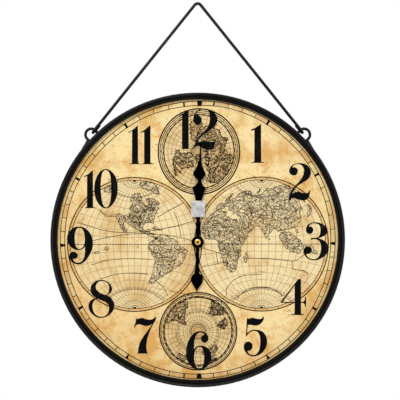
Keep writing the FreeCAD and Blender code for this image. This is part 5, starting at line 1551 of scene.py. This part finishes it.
@dataclass
class MinuteTrack:
    """Hand-drawn railway track round the dial, with a mark at each hour."""

    radii: tuple[float, ...] = (
        145.4, 144.5, 143.5, 143.5, 144.5, 145.0, 145.0, 144.0, 143.5, 143.3, 142.2, 143.8,
    )
    hours: tuple[float, ...] = (
        0.8, 31.0, 61.4, 91.6, 120.6, 149.2, 179.4, 211.0, 239.8, 267.6, 296.8, 327.8,
    )
    width: float = 4.6
    line: float = 0.8
    tick: float = 0.8
    heavy: float = 1.7
    heavy_ticks: tuple[int, ...] = (1, 31, 59)
    marks: tuple[Mark, ...] = (
        Mark.WEDGE, Mark.BAR, Mark.BAR, Mark.FLARE, Mark.BAR, Mark.POINTER,
        Mark.WEDGE, Mark.POINTER, Mark.BAR, Mark.FLARE, Mark.BAR, Mark.BAR,
    )
    mark_ends: Flat = (-0.4, 5.3)
    mark_height: float = 0.06
    tinted: tuple[int, ...] = (1, 4, 8, 13, 17, 21, 26, 31, 33, 38, 42, 47, 51, 56)
    tint_ends: tuple[float, ...] = (0.08, 0.36, 0.64, 0.92)

    def reach(self, degrees: float) -> float:
        """Gives the radius of the outer line, which wanders as a drawn one does.

        Args:
            degrees: clockwise from twelve.

        Returns:
            Millimetres from the dial's middle.
        """
        place = (degrees - 15) / 30 % 12
        share = (1 - math.cos(math.pi * (place % 1))) / 2
        return self.radii[int(place)] * (1 - share) + self.radii[(int(place) + 1) % 12] * share

    def minute(self, number: float) -> float:
        """Gives the angle of a minute between the hours it was drawn between.

        Args:
            number: minutes after twelve.

        Returns:
            Degrees clockwise from twelve.
        """
        hour, share = int(number // 5), number % 5 / 5
        start, end = self.hours[hour % 12], self.hours[(hour + 1) % 12]
        return start + ((end - start) % 360) * share

    def spot(self, degrees: float, inwards: float, aside: float = 0.0) -> Flat:
        """Gives the point so far in from the outer line and so far aside, clockwise."""
        a, radius = math.radians(degrees), self.reach(degrees) - inwards
        return radius * math.sin(a) + aside * math.cos(a), radius * math.cos(a) - aside * math.sin(a)

    def mark(self, hour: int, kind: Mark) -> list[Flat]:
        """Gives the outline of an hour's mark.

        Args:
            hour: 0 to 11.
            kind: its shape.

        Returns:
            The outline.
        """
        far, near = kind.value
        start, end = self.mark_ends
        corners = ((start, -far), (start, far), (end, near), (end, -near))
        return [self.spot(self.hours[hour], inwards, aside) for inwards, aside in corners]

    def build(self) -> None:
        """Builds the lines, ticks, marks and tinted cells."""
        sides = (0.0, self.width)
        lines = [Stroke([self.spot(a, side) for a in range(0, 360, 3)], self.line, True) for side in sides]
        for n in range(60):
            if n % 5:
                width = self.heavy if n in self.heavy_ticks else self.tick
                lines.append(Stroke([self.spot(self.minute(n), side) for side in sides], width))
        draw("minute_track", lines, Level.TRACK.depth(), DARK_INK)
        marks = [self.mark(hour, kind) for hour, kind in enumerate(self.marks)]
        fill("hour_marks", marks, Level.MARKS.depth(), NUMERAL_INK, self.mark_height)
        cells = []
        for n in self.tinted:
            angles = [self.minute(n + share) for share in self.tint_ends]
            outer, inner = ([self.spot(a, side) for a in angles] for side in sides)
            cells.append(outer + inner[::-1])
        fill("track_cells", cells, Level.CELLS.depth(), TRACK_TAN)


@dataclass
class Numerals:
    """The twelve printed numerals."""

    height: float = 0.05
    smoothness: int = 6

    def build(self) -> None:
        """Builds each numeral from its outline's knots."""
        for text, contours in NUMERALS.items():
            obj = flat_curve(f"numeral_{text}", self.height)
            obj.data.resolution_u = self.smoothness
            for contour in contours:
                line = obj.data.splines.new("BEZIER")
                line.bezier_points.add(len(contour) - 1)
                line.use_cyclic_u = True
                for point, (x, z, *corner) in zip(line.bezier_points, contour):
                    point.co = (x, z, 0.0)
                    point.handle_left_type = point.handle_right_type = "VECTOR" if corner else "AUTO"
            on_dial(obj, Level.NUMERALS.depth() - self.height / 2)
            hand_over(obj, NUMERAL_INK, "case")


@dataclass
class DialPaper:
    """The paper disc with its stem hole."""

    hole: float = 4.2
    sides: int = 180

    def build(self) -> None:
        """Turns the disc, as large as the solid."""
        low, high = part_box("dial_paper")
        radius = (high.x - low.x) / 2 / MM
        front, back = -low.y / MM, -high.y / MM
        profile = [(self.hole, back), (radius, back), (radius, front), (self.hole, front)]
        paper = turned("dial_print", profile, Vector((0.0, 0.0, (low.z + high.z) / 2)), self.sides, 30.0)
        hand_over(paper, PAPER, "case", "dial_paper")


@dataclass
class Dial:
    """Everything that is printed on the dial."""

    west: tuple[str, ...] = (
        "north_america", "island_california", "south_america", "greenland", "east_siberia",
        "cuba", "hispaniola", "pacific_isles_a", "pacific_isles_b", "pacific_isles_c",
    )
    east: tuple[str, ...] = (
        "europe_asia", "africa", "britain", "madagascar", "ceylon", "indies", "luzon", "japan", "yezo",
        "new_guinea", "novaya",
    )
    north: tuple[str, ...] = (
        "north_america", "greenland", "europe_asia", "africa", "britain", "tartary", "novaya", "cuba",
    )
    south: tuple[str, ...] = (
        "south_america", "africa", "southern_isles", "australia", "new_guinea", "atolls", "ice_edge",
    )

    def charts(self) -> list[Chart]:
        """Sets up the four charts in their places.

        Returns:
            The charts.
        """
        large = {"radius": 66.7, "density": 0.52}
        polar = {
            "density": 0.62, "wander": 2.4, "sea": POLAR_SEA, "land": POLAR_LAND, "rows": 12,
            "grid": POLAR_INK, "bold": 1.4,
        }
        return [
            HemisphereChart("west_chart", (-65.85, -5.0), lands=self.west, seed=11, middle=-110.0,
                            rich=("north_america",), routes=WEST_LINES, **large),
            HemisphereChart("east_chart", (66.46, -4.6), lands=self.east, seed=23, middle=70.0, lift=0.006,
                            rich=("africa",), more=0.45, routes=EAST_LINES, **large),
            PolarChart("north_chart", (1.29, 91.86), 36.7, self.north, 31, tall=1.05, pole=1, turn=-55.0,
                       rings=(42.5, 40.6, 38.7, 36.7), ring_ink=0.88, **polar),
            PolarChart("south_chart", (0.4, -95.6), 35.2, self.south, 41, pole=-1, turn=75.0,
                       rings=(40.3, 38.7, 36.6, 35.2), ring_ink=0.85, bare=("ice_edge",),
                       rich=("southern_isles", "africa"), **polar),
        ]

    def build(self) -> None:
        """Builds the paper, charts, track and numerals."""
        for part in (DialPaper(), *self.charts(), MinuteTrack(), Numerals()):
            part.build()


@dataclass
class Rim:
    """Black rim of drum, bead and recessed ring; the ring's paint is a darker copy, as painted shade in the
    recess.
    """

    paints: tuple[tuple[str, Finish], ...] = (
        ("rim_drum", DRUM_PAINT), ("bezel_bead", BLACK_PAINT), ("bezel_ring", SHADED_RING_PAINT),
    )

    def build(self) -> None:
        """Welds and smooths each ring."""
        for node, paint in self.paints:
            smooth_copy(node, f"{node}_painted", paint)


@dataclass
class Hanger:
    """Bent rod and the two wire eyes."""

    pieces: tuple[str, ...] = ("hanger_rod", "eye_left", "eye_right")

    def build(self) -> None:
        """Welds and smooths each wire."""
        for node in self.pieces:
            smooth_copy(node, f"{node}_painted", BLACK_PAINT, degrees=40.0)


@dataclass
class Hands:
    """Hour and minute hands with their nut and the film."""

    facets: int = 20
    # Radius of the black disc that paints the shade in the nut's hole.
    bore_shade_radius: float = 1.1
    film_squares: tuple[int, int] = (28, 32)
    film_clear: float = 0.06
    film_wall: float = 0.04
    creases: int = 9
    crease_seed: int = 5
    crease_spread: float = 0.3
    crease_width: float = 0.45
    crease_height: float = 0.1
    crease_share: Flat = (0.3, 1.0)
    hour_widths: tuple[Place, ...] = ((-300.0, -279.6, 1.05), (-279.6, -253.2, 1.25))
    tip_height: float = -286.2
    tip_share: float = 1.25
    minute_widths: tuple[Place, ...] = (
        (-240.9, -226.0, 1.65), (-207.0, -187.5, 1.1), (-187.5, -180.5, 1.35), (-180.5, -166.0, 1.1),
        (-166.0, -107.0, 1.3),
    )

    def stretch(self, hand: Piece, chosen: Callable[[Vector], bool], share: Place, centre: Vector) -> None:
        """Scales some of a hand's corners about a point.

        Args:
            hand: the hand.
            chosen: tells from its place whether a corner is scaled.
            share: scale in each direction.
            centre: the point that stays.
        """
        pick(hand)
        choose(hand, chosen)
        bpy.ops.transform.resize(value=share, center_override=centre)
        bpy.ops.object.mode_set(mode="OBJECT")

    def lengthen_tip(self, hand: Piece) -> None:
        """Draws the hour hand's tip out to a longer point.

        Args:
            hand: the hour hand.
        """
        low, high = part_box("hour_hand")
        centre = Vector(((low.x + high.x) / 2, (low.y + high.y) / 2, self.tip_height * MM))
        self.stretch(hand, lambda at: at.z < centre.z, (1.0, 1.0, self.tip_share), centre)

    def widen(self, hand: Piece, bands: Sequence[Place]) -> None:
        """Gives a hand's slender parts the breadth that stamping leaves.

        Args:
            hand: the hand.
            bands: lowest and highest place in millimetres, and share of the breadth.
        """
        low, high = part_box("hand_nut")
        middle = (low + high) / 2
        for bottom, top, share in bands:
            self.stretch(hand, lambda at, b=bottom, t=top: b * MM < at.z < t * MM, (share, 1.0, 1.0), middle)

    def nut(self) -> None:
        """Turns the brass nut with its lip, and a black disc in its hole as painted shade."""
        low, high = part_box("hand_nut")
        centre = (low + high) / 2
        back, front, wide = -high.y / MM, -low.y / MM, (high.x - low.x) / 2 / MM
        lip = back + 1.2
        profile = [
            (1.12, back), (wide - 0.5, back), (wide - 0.4, back + 0.2), (wide - 0.4, lip - 0.3),
            (wide - 0.7, lip), (2.6, lip + 0.05), (2.55, lip + 0.6), (2.3, front - 0.3), (1.75, front),
            (1.35, front), (1.12, front - 0.25),
        ]
        nut = turned("hand_nut_turned", profile, centre, self.facets, degrees=14.0)
        hand_over(nut, BRASS, body_of("hand_nut"), "hand_nut")
        # A thin black disc just behind the nut's front: painted shade inside its hole.
        floor = [
            (0.0, front - 0.3), (self.bore_shade_radius, front - 0.3), (self.bore_shade_radius, front - 0.15),
            (0.0, front - 0.15),
        ]
        bore_shade = turned("hand_nut_bore_shade", floor, centre, self.facets, degrees=30.0)
        hand_over(bore_shade, BLACK_HAND, body_of("hand_nut"))

    def film(self) -> None:
        """Lays the creased film on the minute hand."""
        low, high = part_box("shipping_film")
        centre, size = (low + high) / 2, high - low
        clear()
        across, down = self.film_squares
        bpy.ops.mesh.primitive_grid_add(x_subdivisions=across, y_subdivisions=down, size=1.0)
        film = bpy.context.object
        film.name = "shipping_film_creased"
        stand(film, (size.x, size.z, 1.0), (centre.x, high.y - self.film_clear * MM, centre.z))
        rng = random.Random(self.crease_seed)
        for _ in range(self.creases):
            angle = rng.uniform(0.0, math.pi)
            offset = rng.uniform(-self.crease_spread, self.crease_spread) * size.x

            def near(at: Vector, angle: float = angle, offset: float = offset) -> bool:
                """Tells whether a corner lies on the crease.

                Args:
                    at: the corner's place.
                    angle: the crease's direction.
                    offset: its distance from the film's middle.

                Returns:
                    True on it.
                """
                away = at - centre
                across = away.x * math.cos(angle) + away.z * math.sin(angle)
                return abs(across - offset) < self.crease_width * MM

            choose(film, near)
            rise = rng.uniform(*self.crease_share) * self.crease_height * MM
            bpy.ops.transform.translate(value=(0.0, -rise, 0.0))
            bpy.ops.object.mode_set(mode="OBJECT")
        film.modifiers.new("wall", "SOLIDIFY").thickness = self.film_wall * MM
        pick(film)
        bpy.ops.object.modifier_apply(modifier="wall")
        bpy.ops.object.shade_smooth_by_angle(angle=math.radians(60.0))
        hand_over(film, FILM, body_of("shipping_film"), "shipping_film")

    def build(self) -> None:
        """Builds the hands, nut and film."""
        for node, bands in (("hour_hand", self.hour_widths), ("minute_hand", self.minute_widths)):
            hand = smooth_copy(node, f"{node}_painted", BLACK_HAND)
            self.widen(hand, bands)
            if node == "hour_hand":
                self.lengthen_tip(hand)
        self.nut()
        self.film()


@dataclass
class Movement:
    """Board, fixings, quartz movement and its cell."""

    smoothed: tuple[str, ...] = ("cell_can", "cell_sleeve", "coil_winding", "rotor_magnet", "quartz_crystal")

    def build(self) -> None:
        """Dresses every node that is still shown."""
        slot_of = {part["node"]: part["material_slot"] for part in frame["record"]["subparts"]}
        for name, obj in sorted(frame["nodes"].items()):
            if obj.hide_render:
                continue
            finish = BY_SLOT[slot_of[name]]
            if name in self.smoothed:
                smooth_copy(name, f"{name}_finished", finish)
            else:
                finish.put_on(obj)
                logging.info("%s: dressed", name)


@dataclass
class Studio:
    """Camera, floor, lamps and world."""

    camera_place: Place = (0.00239, -0.98, -0.20345)
    lens: float = 82.34
    sensor: float = 36.0
    floor_drop: float = 0.35
    floor_size: float = 16.0
    floor_near: float = 0.5
    floor_far: float = 1.45
    floor_grey: float = 0.9
    world: float = 0.46
    lamps: tuple[tuple[str, Place, float, float], ...] = (
        ("key_lamp", (-0.25, -1.6, 0.5), 0.4, 13.5),
        ("back_lamp", (0.5, 1.7, 0.3), 1.2, 14.0),
        ("fill_lamp", (0.75, -1.6, 0.0), 1.4, 3.6),
    )

    def lamp(self, name: str, place: Place, size: float, power: float) -> None:
        """Adds a soft lamp that looks at the clock.

        Args:
            name: its name.
            place: where it stands.
            size: its width.
            power: its power in watts.
        """
        clear()
        bpy.ops.object.light_add(type="AREA", location=place)
        lamp = bpy.context.object
        lamp.name = name
        lamp.data.shape = "DISK"
        lamp.data.size = size
        lamp.data.energy = power
        lamp.rotation_mode = "QUATERNION"
        lamp.rotation_quaternion = (Vector((0.0, 0.0, DIAL_Z)) - Vector(place)).to_track_quat("-Z", "Y")

    def sky(self) -> None:
        """White to the camera and in reflections, a plain soft light elsewhere."""
        world = bpy.data.worlds.new("studio")
        bpy.context.scene.world = world
        world.use_nodes = True
        world.node_tree.nodes.clear()
        tree = Tree(world.node_tree)
        soft, plain = (
            tree.add("ShaderNodeBackground", {"Color": WHITE, "Strength": strength}).outputs[0]
            for strength in (self.world, 1.0)
        )
        both = tree.add("ShaderNodeMixShader", {0: tree.seen(), 1: soft, 2: plain}).outputs[0]
        tree.add("ShaderNodeOutputWorld", {"Surface": both})

    def floor(self) -> None:
        """Lays a plain pale floor that keeps the shadow and fades to white far off."""
        clear()
        low = AT_START[0].z - self.floor_drop
        bpy.ops.mesh.primitive_plane_add(size=self.floor_size, location=(0.0, 0.0, low))
        plane = bpy.context.object
        plane.name = "floor"
        made = bpy.data.materials.new("pale_floor")
        made.use_nodes = True
        tree = Tree(made.node_tree)
        shader = made.node_tree.nodes["Principled BSDF"]
        tree.feed(shader, "Base Color", (self.floor_grey, self.floor_grey, self.floor_grey, 1.0))
        tree.feed(shader, "Roughness", 0.9)
        tree.feed(shader, "Specular IOR Level", 0.0)
        level = tree.span(tree.seen(), 0.0, 1.0, self.world, 1.0)
        white = tree.add("ShaderNodeEmission", {"Color": WHITE, "Strength": level}).outputs[0]
        far = tree.span(tree.length(tree.here()), self.floor_near, self.floor_far)
        both = tree.add("ShaderNodeMixShader", {0: far, 1: shader.outputs[0], 2: white}).outputs[0]
        tree.feed(made.node_tree.nodes["Material Output"], "Surface", both)
        plane.data.materials.append(made)

    def build(self) -> None:
        """Sets the camera, lights and floor."""
        scene = bpy.context.scene
        scene.view_settings.view_transform = "Standard"
        clear()
        bpy.ops.object.camera_add(location=self.camera_place, rotation=UPRIGHT)
        scene.camera = bpy.context.object
        scene.camera.data.lens = self.lens
        scene.camera.data.sensor_width = self.sensor
        self.sky()
        self.floor()
        for lamp in self.lamps:
            self.lamp(*lamp)


def main() -> None:
    """Builds the clock's sub-assemblies in order."""
    logging.basicConfig(level=logging.INFO, format="%(message)s")
    for assembly in (Rim(), Dial(), Hanger(), Hands(), Movement(), Studio()):
        logging.info("building %s", type(assembly).__name__)
        assembly.build()


if __name__ == "__main__":
    main()
